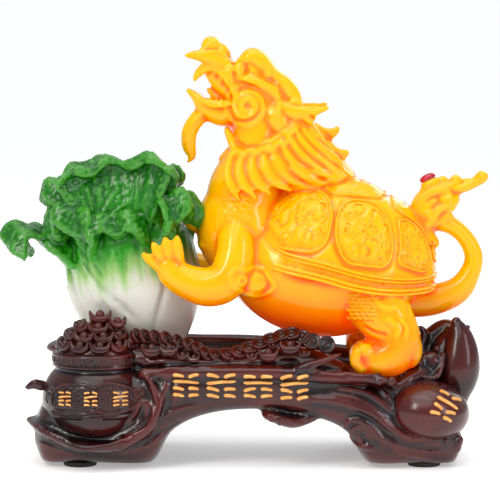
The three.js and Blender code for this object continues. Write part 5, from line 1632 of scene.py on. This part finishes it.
def ingot(spot: Spot, length: float, turn: float) -> list[Skin]:
    """A boat-shaped ingot: a hull with raised ends and a round boss in the middle."""
    half = length / 2
    rows = (
        (-half * 0.95, 0, half * 0.78, half * 0.12, half * 0.22),
        (-half * 0.82, 0, half * 0.36, half * 0.26, half * 0.42),
        (-half * 0.4, 0, half * 0.02, half * 0.46, half * 0.54),
        (half * 0.4, 0, half * 0.02, half * 0.46, half * 0.54),
        (half * 0.82, 0, half * 0.36, half * 0.26, half * 0.42),
        (half * 0.95, 0, half * 0.78, half * 0.12, half * 0.22),
    )
    forms = [limb(rows, 14, 10), ball((0, 0, half * 0.5), (half * 0.42,) * 3, 0, 8, 12)]
    c, s = math.cos(math.radians(turn)), math.sin(math.radians(turn))
    basis = np.array([[c, s, 0], [-s, c, 0], [0, 0, 1]])
    return [Skin(form.points @ basis + np.array(spot), form.faces) for form in forms]


def coin(centre: Array, normal: Station, radius: float, thick: float = 2.4) -> Skin:
    """A coin with a raised rim and a raised ring in the middle of both faces."""
    half, r = thick / 2, radius
    steps = [(0, 0.35), (0.24, 0.35), (0.27, 0), (0.4, 0), (0.43, 0.35), (0.74, 0.35)]
    steps += [(0.78, 0), (0.95, 0), (1.0, 0.35)]
    profile = [(a * r, drop - half) for a, drop in steps]
    profile += [(a * r, half - drop) for a, drop in reversed(steps)]
    return aimed(lathe(profile, (0, 0, 0), 30), centre, normal)


# The curled end of the front rim, and the stem that carries the gourd.
RIM_TIP = (
    (42, -61, 76, 3.4, 5), (56, -62, 80, 2.8, 4.6), (66, -61, 83.6, 2.0, 3.6), (72.5, -59, 86, 0.8, 1.6),
)
GOURD_ARM = ((112, -50, 58, 5, 8), (120, -46, 64, 5.4, 9), (129, -38, 68, 5, 9), (137, -30, 70, 4, 8))

# Petals behind the gourd, from the pod's place.
PETALS = (
    (
        (-24, 26, -12, 8, 14), (-10, 32, 8, 9, 12), (4, 36, 25, 6.5, 10), (14, 36, 31, 5.6, 9),
        (24, 32, 27, 5, 8), (28, 30, 18, 4, 7),
    ),
    ((8, 20, 2, 11, 10), (12, 24, 12, 11, 10), (15, 26, 20, 9, 9), (18, 26, 26, 6, 7)),
    (
        (1, 20, 4, 4.4, 6), (-6, 22, 16, 3.6, 5), (-3, 24, 26, 3.0, 4), (-5, 22, 31, 2.4, 3.4),
        (-7.4, 21, 32.6, 1.8, 2.6),
    ),
    (
        (-4.4, 8, 12, 1.8, 5), (-8, 4, 4, 2.4, 6), (-5, 1, -2, 2.4, 6), (4, 2, -2, 2.4, 6),
        (9, 6, 5, 2.0, 5), (10, 10, 14, 1.4, 4),
    ),
)


@dataclass
class Pod:
    """The split pod behind the gourd: petals that curl round a seed."""

    x: float = 138.0
    y: float = -42.0
    z: float = 68.0

    def set_out(self, run: Sequence[Station]) -> list[Station]:
        """Stations given from the pod's place, in the maker's frame."""
        return [(self.x + x, self.y + y, self.z + z, *radii) for x, y, z, *radii in run]

    def petals(self) -> list[list[Station]]:
        """The petals, as stations."""
        return [self.set_out(run) for run in PETALS]

    def seed(self) -> list[Skin]:
        """The seed, and the flat filling between the petals behind it."""
        filling = self.set_out(((8, 30, -2, 6, 5), (12, 31, 14, 7, 4), (17, 32, 27, 5, 3)))
        return [ball((self.x + 1, self.y + 10, self.z + 6), (9, 8, 10)), limb(filling, 24)]


@dataclass
class Stand:
    """The dark casting: a beam on two legs, with scrolls and folds, the pot and the gourd."""

    left: float = -155.0
    right: float = 162.0
    depth: float = 130.0
    top: float = 76.0
    underside: float = 3.6
    arch_left: float = -62.0
    arch_right: float = 90.0
    arch_height: float = 41.0
    turtle_seat: float = 68.0
    cabbage_spot: Spot = (-74.0, 16.0, 33.0)  # x, y and radius of the cabbage's foot
    gourd: Spot = (136.0, -46.0, 42.0)
    gourd_radius: float = 28.0
    voxel: float = 1.6
    stipple_seed: int = 5
    pot: Pot = field(default_factory=Pot)
    pod: Pod = field(default_factory=Pod)

    def trunk(self) -> Skin:
        """The beam and both legs: rounded rectangles carried along it, with sides |cos|^0.5 and |sin|^0.5."""
        half, low = self.depth / 2, self.underside - 4
        middle, quarter = (self.arch_left + self.arch_right) / 2, (self.arch_right - self.arch_left) / 4
        stations = np.array(
            [
                (self.left, 14, 34, half * 0.6),
                (self.left + 8, low, 50, half * 0.82),
                (self.left + 26, low, self.top - 4, half * 0.97),
                (self.pot.x, low, self.top, half),
                (self.arch_left - 8, low, self.top, half),
                (self.arch_left + 10, self.arch_height * 0.62, self.top, half - 1),
                (middle - quarter, self.arch_height * 0.93, self.top, half - 3),
                (middle, self.arch_height, self.top, half - 4),
                (middle + quarter, self.arch_height * 0.86, self.top - 2, half - 3),
                (self.arch_right - 14, self.arch_height * 0.6, self.turtle_seat, half - 1),
                (self.arch_right + 4, low, self.turtle_seat - 1, half),
                (self.right - 36, low, 52, half * 0.97),
                (self.right - 9, low, 33, half * 0.86),
                (self.right, 10, 24, half * 0.62),
            ]
        )
        x, low_line, high_line, width = spline(stations, np.linspace(0, 1, 160)).T[:, :, None]
        angle = np.arange(96) * TAU / 96
        soft_y, soft_z = (np.sign(v) * np.abs(v) ** 0.5 for v in (np.cos(angle), np.sin(angle)))
        z = (low_line + high_line) / 2 + (high_line - low_line) / 2 * soft_z
        rings = np.stack([np.broadcast_to(x, z.shape), width * soft_y, z], axis=-1)
        return wrapped(rings, rings[0].mean(axis=0), rings[-1].mean(axis=0))

    def rims(self) -> list[Skin]:
        """The basin's back rim, the leaf round the pot, the bed of treasure, the bracket, pod and petals."""
        half, front = self.depth / 2, -self.depth / 2
        left, arch_left, arch_right = self.left, self.arch_left, self.arch_right
        arch, seat, px = self.arch_height, self.turtle_seat, self.pot.x
        back_rim = (
            (left + 24, 6, 56, 8, 12),
            (left + 24, half * 0.4, 79, 8, 12),
            (px + 2, half - 10, 80, 8, 9),
            (arch_left + 20, half - 8, 78, 7, 8),
            (14, half - 9, 77, 7, 8),
            (arch_right - 10, half - 12, seat + 1, 8, 8),
            (arch_right + 30, half * 0.5, seat + 1, 9, 10),
            (self.pod.x + 2, 8, seat - 12, 11, 12),
        )
        cup_leaf = (
            (left - 2, -24, 31, 3, 6),
            (left + 9, front + 14, 28.5, 3.6, 8),
            (left + 28, front - 2, 21, 3.6, 8),
            (px + 14, front - 3, 18.5, 3.6, 7),
            (px + 40, front, 32, 3.6, 6),
            (px + 46, front + 1, 50, 3.2, 5),
            (px + 43, front + 1, 62, 2.6, 4),
            (px + 38, front + 2, 70, 1.4, 3),
        )
        treasure_bed = (
            (px + 24, -34, 81, 9, 16),
            (arch_left + 14, -40, 78, 9, 16),
            (-10, -42, 72, 9, 16),
            (26, -36, 76, 11, 20),
            (arch_right - 40, -36, 75, 11, 18),
            (arch_right - 18, -42, 70, 7, 12),
        )
        bracket = (
            (18, front + 20, arch - 1, 5, 18),
            (36, front + 20, arch - 6, 6, 18),
            (52, front + 20, arch - 3, 4, 14),
        )
        front_rim = (
            (px + 36, front + 6, 71, 4.5, 5),
            (14, front + 5, 72, 4.5, 5),
            (arch_right - 30, front + 4, 69, 4.5, 5),
            (arch_right + 8, front + 5, seat - 1, 3.6, 4),
            (arch_right + 20, front + 9, seat - 4, 1.6, 2.4),
        )
        runs = (back_rim, cup_leaf, treasure_bed, bracket, front_rim, RIM_TIP, *self.pod.petals(), GOURD_ARM)
        forms = [limb(run, 40) for run in runs]
        forms.append(ball((left + 20, 2, 84), (14, 22, 4.6), -8))
        forms += self.pod.seed()
        for x, z, r in ((153, 20, 5.2), (157, 15, 4.6), (155, 25, 3.8), (159.5, 20, 3.6), (151, 13, 4.6)):
            forms.append(ball((x, front + 17, z), (r, r + 1.5, r)))
        middle = seat - 12.6
        for side in (-1, 1):
            sole = ((80, side * 42.5, middle, 11.4, 15), (124, side * 40, middle, 11.4, 15))
            forms.append(limb(sole, 40, blunt=0.6))
        return forms

    def gourd_forms(self) -> list[Skin]:
        """The gourd: a round lower bulb and a tall upper bulb behind it."""
        x, y, z = self.gourd
        r = self.gourd_radius
        ux, uy, uz = x + 0.87 * r, y + 24, z + 8
        stations = [(-3.6, 0, 12), (-2, 9, 15), (0, 20, 16), (1, 32, 14), (0.6, 43, 10.4)]
        stations += [(-1, 51, 6.4), (-2, 55, 3.6)]
        upper = [(ux + dx, uy, uz + dz, radius) for dx, dz, radius in stations]
        return [ball((x, y, z), (r + 3, r + 4, r - 5.6), 8, 40, 56), limb(upper, 56, 48)]

    def soft(self) -> Skin:
        """Everything that runs together in the mould, with its folds and grooves."""
        skin = relaxed(fused([self.trunk(), *self.rims(), *self.pot.lug()], self.voxel), 2, 3)
        view = FrontView(skin)
        folds = [(view.traced(points, 90)[0], high, wide) for points, high, wide in FOLDS.values()]
        skin = carved(skin, folds)
        x, y, radius = self.cabbage_spot
        foot = np.hypot(skin.points[:, 0] - x, skin.points[:, 1] - y) < radius
        skin.points[foot, 2] = np.minimum(skin.points[foot, 2], self.top)
        skin.points[:, 2] = np.maximum(skin.points[:, 2], self.underside)
        return skin

    def treasure(self) -> list[Skin]:
        """The string of coins and the loose ingots before it."""
        faces = spline(np.array(COIN_FACES), np.linspace(0, 1, len(COINS)))
        made = [coin(from_front(*spot), face, 6.6, 3.2) for spot, face in zip(COINS, faces)]
        for across, down, y, length, turn in LOOSE_INGOTS:
            made += ingot(tuple(from_front(across, down, y)), length, turn)
        return made

    def build(self) -> Skin:
        """The finished surface with its mark: hollow."""
        skin = self.soft()
        pot = self.pot
        crisp = [pot.body(), *pot.keys(), pot.heap(), *pot.ingots(), *self.gourd_forms(), *self.treasure()]
        skin = united(skin, joined(crisp))
        view = FrontView(skin)
        skin = united(skin, joined([*self.cartouche(view), *self.berries(view)]))
        hollow = np.clip(hollowness(skin, 4) / 0.06, -1, 1)
        return skin.marked(hollow=hollow)

    def cartouche(self, view: FrontView) -> list[Skin]:
        """The framed panel on the pot: a raised outline, lines round it and a stippled ground."""
        lines = [rope(view.traced(PANEL, 170)[0], 0.95)]
        for drawing in PANEL_LINES:
            path = view.traced(drawing, 40)[0]
            lines.append(rope(path, np.linspace(0.8, 0.6, len(path))))
        rng = np.random.default_rng(self.stipple_seed)
        across, down = np.meshgrid(np.arange(60, 141, 2.5), np.arange(384, 409, 2.5))
        spots = np.stack([across.ravel(), down.ravel()], axis=1) + rng.uniform(-0.8, 0.8, (across.size, 2))
        inside = outline_distance(spots, np.array(PANEL[:-1], float)) > 1.6
        dots = [spot for spot in spots[inside] if not any(sign_covers(sign, spot) for sign in POT_SIGNS)]
        return lines + [ball(spot, (0.62, 0.62, 0.62), 0, 6, 8) for spot in view.landed(dots)]

    def berries(self, view: FrontView) -> list[Skin]:
        """The row of seeds before the gourd, the beads and the boss on the petal."""
        row = [(398.2 + 3.9 * k, 374.4 - 2.5 * k) for k in range(6)]
        made = [ball(spot, (2.1, 2.1, 2.1), 0, 10, 14) for spot in view.landed(row)]
        for *spot, radius in ((388.6, 379.5, 3.9), (435.2, 349.5, 2.9), (466, 327, 1.8), (442, 438, 2.2)):
            made += [ball(at, (radius,) * 3, 0, 16, 24) for at in view.landed([spot])]
        return made


def sign_covers(sign: Station, spot: Station, room: float = 0.8) -> bool:
    """Whether a drawing point lies within a sign's box."""
    return sign[0] - room < spot[0] < sign[2] + room and sign[1] - room < spot[1] < sign[3] + room


@dataclass
class GiltStrokes:
    """Gold paint on shallow raised strokes, which stand for the ornament's signs and aren't letters."""

    stand: Skin
    seed: int = 12

    def sign(self, view: FrontView, box: Station, rng: np.random.Generator) -> list[Skin]:
        """Rows of short slanting strokes that fill one sign's box, one long or two short strokes to a row."""
        left, top, right, bottom, turn, rows = box
        middle = np.array([(left + right) / 2, (top + bottom) / 2])
        width, high = right - left, (bottom - top) / rows
        c, s = math.cos(math.radians(turn)), math.sin(math.radians(turn))
        made = []
        for row in range(rows):
            parts = ((-0.5, 0.5),) if row % 3 == 1 else ((-0.5, -0.08), (0.1, 0.5))
            for low, high_end in parts:
                slant = rng.uniform(-0.22, 0.22) * high
                y = top - middle[1] + (row + 0.5) * high
                bow = ((low + high_end) / 2 * width, y - 0.08 * high)
                ends = np.array([(low * width, y + slant), bow, (high_end * width, y - slant)])
                drawing = ends @ np.array([[c, s], [-s, c]]) + middle
                path, normals = view.traced(drawing, 14)
                if len(path):
                    share = np.linspace(0, 1, len(path))
                    thick = high * 0.75 * (0.3 - 0.08 * share)
                    made.append(rope(path + 0.25 * normals, thick, 10))
        return made

    def build(self) -> Skin:
        """All strokes of the beam, the pot and the gourd."""
        view = FrontView(self.stand)
        rng = np.random.default_rng(self.seed)
        signs = (*BEAM_SIGNS, *POT_SIGNS, *GOURD_SIGNS)
        return joined([part for sign in signs for part in self.sign(view, sign, rng)])


# Gem and pads


@dataclass
class Gem:
    """A cabochon: a domed oval on a flat back, set in the tip of the tail and tipped towards the head."""

    figure: DragonTurtle
    length: float = 12.5
    width: float = 9.5
    height: float = 4.2
    boss: Spot = (26.4, 0.0, 54.9)
    tip: float = -25.0
    step: float = 1.7  # from the middle of the boss to the seat, in hundredths of the figure

    def seat(self) -> Array:
        """The middle of the flat back, in millimetres."""
        way = np.array([math.sin(math.radians(self.tip)), 0, math.cos(math.radians(self.tip))])
        return self.figure.origin + (np.array(self.boss) + way * self.step) * self.figure.scale

    def build(self) -> Skin:
        """The stone: a short upright girdle under a quarter-round dome."""
        bend = np.linspace(0, math.pi / 2, 14)
        dome = [(math.cos(a) ** 0.9, 0.26 + 0.74 * math.sin(a)) for a in bend[:-1]]
        skin = lathe([(0, 0), (0.93, 0), (0.985, 0.06), (1.0, 0.14), *dome, (0, 1)], (0, 0, 0), 72)
        size = (self.length / 2, self.width / 2, self.height)
        skin.points = (skin.points * size) @ turned_about_y(self.tip).T + self.seat()
        return skin

    def socket(self, skin: Skin, gap: float = 0.3) -> Skin:
        """The casting with a flat seat pressed into it for the stone."""
        own = (skin.points - self.seat()) @ turned_about_y(self.tip)
        rho = np.hypot(own[:, 0] / (self.length / 2 + gap), own[:, 1] / (self.width / 2 + gap))
        over = (rho < 1) & (own[:, 2] > -gap) & (own[:, 2] < 14)
        own[over, 2] = -gap
        skin.points = own @ turned_about_y(self.tip).T + self.seat()
        return skin


@dataclass
class Pads:
    """Four round rubber pads glued under the legs."""

    height: float = 3.6
    left: float = -121.0
    right: float = 134.0
    spread: float = 40.0

    def build(self) -> dict[str, Skin]:
        """Each pad with the name of its CAD node: a disc that tapers to the table with softened edges."""
        profile = [(0, 0), (11.4, 0), (11.85, 0.15), (12.0, 0.5), (12.9, 3.1), (12.95, 3.4)]
        profile += [(12.7, self.height), (0, self.height)]
        spots = {
            f"foot_{'front' if side < 0 else 'back'}_{end}": (x, side * self.spread, 0)
            for end, x in (("left", self.left), ("right", self.right))
            for side in (-1, 1)
        }
        return {name: lathe(profile, spot, 64) for name, spot in spots.items()}


# Finishes


def linear(hex_colour: str) -> tuple[float, float, float, float]:
    """An sRGB hex colour as linear numbers with full alpha."""
    values = [int(hex_colour[i : i + 2], 16) / 255 for i in (1, 3, 5)]
    return (*(v / 12.92 if v <= 0.04045 else ((v + 0.055) / 1.055) ** 2.4 for v in values), 1.0)


@dataclass
class NodeTree:
    """A material's nodes, with one call that adds a node with its settings and links."""

    material: bpy.types.Material

    @classmethod
    def new(cls, name: str) -> "NodeTree":
        """An empty material with its output."""
        material = bpy.data.materials.new(name)
        material.use_nodes = True
        material.node_tree.nodes.clear()
        return cls(material)

    def add(self, kind: str, settings: dict[str, object] | None = None, **sockets: object) -> bpy.types.Node:
        """Adds a node.

        Args:
            kind: the node's type without its ShaderNode prefix.
            settings: properties of the node itself.
            sockets: inputs by name, underscores for spaces; an output is linked, anything else is set.

        Returns:
            The node.
        """
        node = self.material.node_tree.nodes.new("ShaderNode" + kind)
        for name, value in (settings or {}).items():
            setattr(node, name, value)
        for name, value in sockets.items():
            socket = node.inputs[int(name[1:])] if name[0] == "_" else node.inputs[name.replace("_", " ")]
            if isinstance(value, bpy.types.NodeSocket):
                self.material.node_tree.links.new(value, socket)
            else:
                socket.default_value = value
        return node

    def ramp(self, factor: bpy.types.NodeSocket, stops: Sequence[tuple[float, str]]) -> bpy.types.NodeSocket:
        """A colour ramp over a factor, from (place, sRGB hex) stops."""
        node = self.add("ValToRGB", Fac=factor)
        bar = node.color_ramp.elements
        while len(bar) < len(stops):
            bar.new(0.5)
        for element, (place, colour) in zip(bar, stops):
            element.position = place
            element.color = linear(colour)
        return node.outputs["Color"]

    def finish(self, surface: bpy.types.NodeSocket) -> bpy.types.Material:
        """Links the surface to the output and gives the material back."""
        self.add("OutputMaterial", Surface=surface)
        return self.material


@dataclass(frozen=True)
class AmberResin:
    """Polyester resin cast to look like amber, which lets light in, under a poured gloss. Its colour carries
    painted shade: yellow on lit tops, orange to red low down, underneath and in hollows, and a painted glow
    of emitted light in those shaded parts."""

    name: str = "amber_resin"
    light: str = "#FFBA02"
    body: str = "#FFA700"
    deep: str = "#FA8200"
    shade: str = "#F05602"
    red: str = "#E03A02"
    painted_glow: str = "#D84400"  # painted glow: emitted light in the shaded parts, standing for light that comes through from the far side
    roughness: float = 0.1
    depth: float = 0.0035  # metres that light wanders under the skin

    def build(self) -> bpy.types.Material:
        """The material."""
        tree = NodeTree.new(self.name)
        where = tree.add("TexCoord").outputs["Object"]
        warmth = tree.add("Attribute", {"attribute_name": "warmth"}).outputs["Fac"]
        swirl = tree.add("TexNoise", Vector=where, Scale=26.0, Detail=3.0, Roughness=0.5, Distortion=0.8)
        drift = tree.add("Math", {"operation": "MULTIPLY_ADD"}, _0=swirl.outputs["Fac"], _1=0.22, _2=-0.11)
        mixed = tree.add("Math", {"operation": "ADD"}, _0=warmth, _1=drift.outputs[0])
        # painted shade: lit parts take the light colours, shaded ones the shade and red colours
        stops = ((0.0, self.light), (0.28, self.body), (0.5, self.deep), (0.74, self.shade), (1.0, self.red))
        colour = tree.ramp(mixed.outputs[0], stops)
        # painted glow: the warm, shaded parts emit light of their own
        painted_glow = tree.ramp(mixed.outputs[0], ((0.36, "#000000"), (0.9, self.painted_glow)))
        grain = tree.add("TexNoise", Vector=where, Scale=420.0, Detail=2.0, Roughness=0.5)
        bump = tree.add("Bump", Strength=0.05, Distance=0.0003, Height=grain.outputs["Fac"])
        shader = tree.add(
            "BsdfPrincipled",
            Base_Color=colour,
            Emission_Color=painted_glow,
            Emission_Strength=0.6,
            Roughness=self.roughness,
            IOR=1.5,
            Specular_IOR_Level=0.2,
            Subsurface_Weight=0.6,
            Subsurface_Radius=(1.0, 0.36, 0.04),
            Subsurface_Scale=self.depth,
            Coat_Weight=0.22,
            Coat_Roughness=0.03,
            Normal=bump.outputs["Normal"],
        )
        return tree.finish(shader.outputs["BSDF"])


@dataclass(frozen=True)
class CabbageResin:
    """Polyester resin cast in two colours, milk white running into leaf green, like carved jade, with painted
    shade in dark green in the hollows of its leaves.
    """

    name: str = "cabbage_resin"
    white: str = "#D6D5CA"
    pale: str = "#9CC272"
    leaf: str = "#259610"
    dark: str = "#0E680A"
    vein: str = "#54A832"
    # colour of the painted shade in the leaves' hollows
    pit_shade: str = "#0A5A0A"
    roughness: float = 0.14
    depth: float = 0.004  # metres that light wanders under the skin

    def build(self) -> bpy.types.Material:
        """The material."""
        tree = NodeTree.new(self.name)
        where = tree.add("TexCoord").outputs["Object"]
        green = tree.add("Attribute", {"attribute_name": "green"}).outputs["Fac"]
        hollow = tree.add("Attribute", {"attribute_name": "hollow"}).outputs["Fac"]
        patch = tree.add("TexNoise", Vector=where, Scale=60.0, Detail=4.0, Roughness=0.6)
        drift = tree.add("Math", {"operation": "MULTIPLY_ADD"}, _0=patch.outputs["Fac"], _1=0.3, _2=-0.15)
        level = tree.add("Math", {"operation": "ADD"}, _0=green, _1=drift.outputs[0])
        stops = ((0.04, self.white), (0.3, self.pale), (0.62, self.leaf), (1.0, self.dark))
        base = tree.ramp(level.outputs[0], stops)
        ridge = tree.add("MapRange", _0=hollow, _1=-0.25, _2=-1.0, _3=0.0, _4=0.5)
        lit = tree.add("Math", {"operation": "MULTIPLY"}, _0=ridge.outputs[0], _1=green)
        mixed = tree.add("MixRGB", Fac=lit.outputs[0], Color1=base, Color2=linear(self.vein))
        # painted shade: hollows of the green leaves are darkened towards the pit colour
        pit_shade = tree.add("MapRange", _0=hollow, _1=0.1, _2=0.9, _3=0.0, _4=0.8)
        deep = tree.add("Math", {"operation": "MULTIPLY"}, _0=pit_shade.outputs[0], _1=green)
        colour = tree.add("MixRGB", Fac=deep.outputs[0], Color1=mixed.outputs[0], Color2=linear(self.pit_shade))
        grain = tree.add("TexNoise", Vector=where, Scale=700.0, Detail=3.0, Roughness=0.6)
        bump = tree.add("Bump", Strength=0.45, Distance=0.0006, Height=grain.outputs["Fac"])
        shader = tree.add(
            "BsdfPrincipled",
            Base_Color=colour.outputs[0],
            Roughness=self.roughness,
            IOR=1.54,
            Specular_IOR_Level=0.35,
            Subsurface_Weight=0.35,
            Subsurface_Radius=(0.5, 1.0, 0.35),
            Subsurface_Scale=self.depth,
            Coat_Weight=0.15,
            Coat_Roughness=0.04,
            Normal=bump.outputs["Normal"],
        )
        return tree.finish(shader.outputs["BSDF"])


@dataclass(frozen=True)
class StandResin:
    """Resin filled with wood flour and lacquered like old rosewood: nearly black, red-brown where it is
    rubbed or thin, with soft wide highlights."""

    name: str = "stand_resin"
    black: str = "#0E0507"
    brown: str = "#270A0C"
    red: str = "#521510"
    roughness: float = 0.2

    def build(self) -> bpy.types.Material:
        """The material."""
        tree = NodeTree.new(self.name)
        where = tree.add("TexCoord").outputs["Object"]
        hollow = tree.add("Attribute", {"attribute_name": "hollow"}).outputs["Fac"]
        patch = tree.add("TexNoise", Vector=where, Scale=22.0, Detail=4.0, Roughness=0.55, Distortion=0.6)
        rub = tree.add("Math", {"operation": "MULTIPLY_ADD"}, _0=hollow, _1=-0.2, _2=-0.02)
        level = tree.add("Math", {"operation": "ADD"}, _0=patch.outputs["Fac"], _1=rub.outputs[0])
        colour = tree.ramp(level.outputs[0], ((0.28, self.black), (0.5, self.brown), (0.82, self.red)))
        low, high = self.roughness, self.roughness + 0.1
        rough = tree.add("MapRange", _0=patch.outputs["Fac"], _1=0.3, _2=0.7, _3=low, _4=high)
        grain = tree.add("TexNoise", Vector=where, Scale=520.0, Detail=3.0, Roughness=0.6)
        bump = tree.add("Bump", Strength=0.08, Distance=0.0003, Height=grain.outputs["Fac"])
        shader = tree.add(
            "BsdfPrincipled",
            Base_Color=colour,
            Roughness=rough.outputs[0],
            IOR=1.5,
            Specular_IOR_Level=0.36,
            Coat_Weight=0.3,
            Coat_Roughness=0.1,
            Normal=bump.outputs["Normal"],
        )
        return tree.finish(shader.outputs["BSDF"])


@dataclass(frozen=True)
class PlainFinish:
    """A finish of one colour with a fine grain: gilt paint, gem glass or rubber."""

    name: str
    colour: str
    worn: str
    roughness: float
    metallic: float = 0.0
    coat: float = 0.0
    depth: float = 0.0

    def build(self) -> bpy.types.Material:
        """The material, its colour drifting a little between the main one and the worn one."""
        tree = NodeTree.new(self.name)
        where = tree.add("TexCoord").outputs["Object"]
        patch = tree.add("TexNoise", Vector=where, Scale=180.0, Detail=3.0, Roughness=0.55)
        colour = tree.ramp(patch.outputs["Fac"], ((0.35, self.colour), (0.8, self.worn)))
        bump = tree.add("Bump", Strength=0.1, Distance=0.0002, Height=patch.outputs["Fac"])
        shader = tree.add(
            "BsdfPrincipled",
            Base_Color=colour,
            Roughness=self.roughness,
            Metallic=self.metallic,
            Coat_Weight=self.coat,
            Coat_Roughness=0.04,
            Subsurface_Weight=0.5 if self.depth else 0.0,
            Subsurface_Radius=(1.0, 0.15, 0.1),
            Subsurface_Scale=self.depth,
            Normal=bump.outputs["Normal"],
        )
        return tree.finish(shader.outputs["BSDF"])


# Signs painted in gold leaf colour, the stone, and the pads, each as it comes from the maker.
GILT = PlainFinish("gilt_paint", "#F5B968", "#D98E3C", 0.42, metallic=0.25)
GEM_GLASS = PlainFinish("red_gem_glass", "#C4001C", "#9A0016", 0.05, coat=0.3)
RUBBER = PlainFinish("black_rubber", "#151515", "#1F1F1F", 0.75)


# The scene


@dataclass
class Studio:
    """A pale floor, soft lights and the camera at the photo's angle."""

    target: Spot = (4.9, 0.0, 156.0)
    distance: float = 2.2
    elevation: float = 6.0
    frame_width: float = 0.375  # metres that the picture spans at the ornament
    floor_size: float = 60.0
    floor_glow: float = 0.34  # lifts the paper to the photo's white

    def build(self, shift: Array) -> None:
        """Adds floor, lights, world and camera.

        Args:
            shift: offset from the maker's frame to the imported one, in millimetres.
        """
        target = Vector(((np.array(self.target) + shift) * MM).tolist())
        self.floor()
        self.camera(target)
        for name, place, size, power, colour in (
            ("key", (-0.75, -1.0, 0.95), (0.28, 0.7), 7.0, "#FFF7F0"),
            ("fill", (1.05, -0.8, 0.6), (0.25, 0.9), 4.0, "#F4F7FF"),
            ("top", (0.05, 0.1, 1.25), (1.2, 0.8), 5.0, "#FFFFFF"),
            ("rim", (0.6, 1.0, 0.7), (0.8, 0.6), 3.0, "#FFFFFF"),
        ):
            self.light(name, Vector(place), size, power, colour, target)
        sky = bpy.data.lights.new("sky", "SUN")
        sky.energy, sky.angle = 1.0, math.radians(50)
        shown("sky", sky).rotation_euler = (math.radians(25), math.radians(-12), 0)
        world = bpy.data.worlds.new("studio")
        world.use_nodes = True
        world.node_tree.nodes["Background"].inputs["Color"].default_value = linear("#F2F4F8")
        world.node_tree.nodes["Background"].inputs["Strength"].default_value = 0.5
        bpy.context.scene.world = world
        bpy.context.scene.view_settings.view_transform = "Standard"

    def floor(self) -> None:
        """A large pale sheet under the ornament."""
        size = self.floor_size
        corners = np.array([(-size, -size, 0), (size, -size, 0), (size, size, 0), (-size, size, 0)])
        skin = Skin(corners, np.array([(0, 1, 2), (0, 2, 3)]))
        sheet = shown("floor", to_mesh("floor", skin))
        tree = NodeTree.new("floor_paper")
        shader = tree.add(
            "BsdfPrincipled",
            Base_Color=linear("#F4F4F4"),
            Roughness=0.7,
            Emission_Color=linear("#FFFFFF"),
            Emission_Strength=self.floor_glow,
        )
        sheet.data.materials.append(tree.finish(shader.outputs["BSDF"]))

    def camera(self, target: Vector) -> None:
        """A long lens, so that the view is nearly without perspective."""
        lens = bpy.data.cameras.new("camera")
        lens.sensor_width = 36.0
        lens.lens = lens.sensor_width * self.distance / self.frame_width
        lens.clip_end = 50.0
        holder = shown("camera", lens)
        tilt = math.radians(self.elevation)
        holder.location = target + Vector((0, -math.cos(tilt), math.sin(tilt))) * self.distance
        holder.rotation_euler = (math.pi / 2 - tilt, 0, 0)
        bpy.context.scene.camera = holder

    def light(
        self, name: str, place: Vector, size: tuple[float, float], power: float, colour: str, target: Vector
    ) -> None:
        """A soft box that faces the ornament."""
        lamp = bpy.data.lights.new(name, "AREA")
        lamp.shape = "RECTANGLE"
        lamp.size, lamp.size_y = size
        lamp.energy = power
        lamp.color = linear(colour)[:3]
        holder = shown(name, lamp)
        holder.location = place
        holder.rotation_euler = (target - place).to_track_quat("-Z", "Y").to_euler()


@dataclass
class Workshop:
    """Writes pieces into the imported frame."""

    pad_corner: Spot = (-121.0, -40.0, 0.0)
    most_triangles: int = 192_000

    def __post_init__(self) -> None:
        """Finds the offset from the maker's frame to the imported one: where the front left pad went."""
        low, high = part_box("foot_front_left")
        middle = (Vector(low) + Vector(high)) / 2 / MM
        self.shift = np.array([middle.x - self.pad_corner[0], middle.y - self.pad_corner[1], 0.0])

    def put(
        self, name: str, skin: Skin, materials: Sequence[bpy.types.Material], slot: Slot, nodes: Sequence[str]
    ) -> bpy.types.Object:
        """Makes a piece, lets it ride on the ornament's one body and stand for its CAD nodes.

        Args:
            name: the piece's name.
            skin: its surface in the maker's frame.
            materials: its finishes, added to the mesh in this order.
            slot: the record's material slot; not used.
            nodes: the CAD nodes that it stands for.

        Returns:
            The piece.
        """
        skin = thinned(skin, self.most_triangles)
        mesh = to_mesh(name, skin, MM, self.shift)
        for material in materials:
            mesh.materials.append(material)
        piece = shown(name, mesh)
        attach(piece, "root")
        if nodes:
            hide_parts(*nodes)
        low, high = skin.points.min(axis=0) + self.shift, skin.points.max(axis=0) + self.shift
        log.info("%s: %d triangles, from %s to %s", name, len(skin.faces), low.round(1), high.round(1))
        return piece


def main() -> None:
    """Builds the pieces in order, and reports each."""
    logging.basicConfig(level=logging.INFO, format="%(message)s")
    shop = Workshop()
    Studio().build(shop.shift)
    figure = DragonTurtle()
    gem = Gem(figure)
    stand = Stand().build()
    pieces = (
        ("stand_cast", stand, StandResin(), Slot.STAND, "stand"),
        ("dragon_turtle_cast", gem.socket(figure.build()), AmberResin(), Slot.AMBER, "dragon_turtle"),
        ("cabbage_cast", Cabbage().build(), CabbageResin(), Slot.CABBAGE, "cabbage"),
        ("gem_cabochon", gem.build(), GEM_GLASS, Slot.GEM, "tail_gem"),
    )
    for name, skin, finish, slot, node in pieces:
        shop.put(name, skin, [finish.build()], slot, [node])
    shop.put("gilt_strokes", GiltStrokes(stand).build(), [GILT.build()], Slot.GILT, [])
    rubber = RUBBER.build()
    for name, skin in Pads().build().items():
        shop.put(name.replace("foot", "pad"), skin, [rubber], Slot.PAD, [name])


if __name__ == "__main__":
    main()
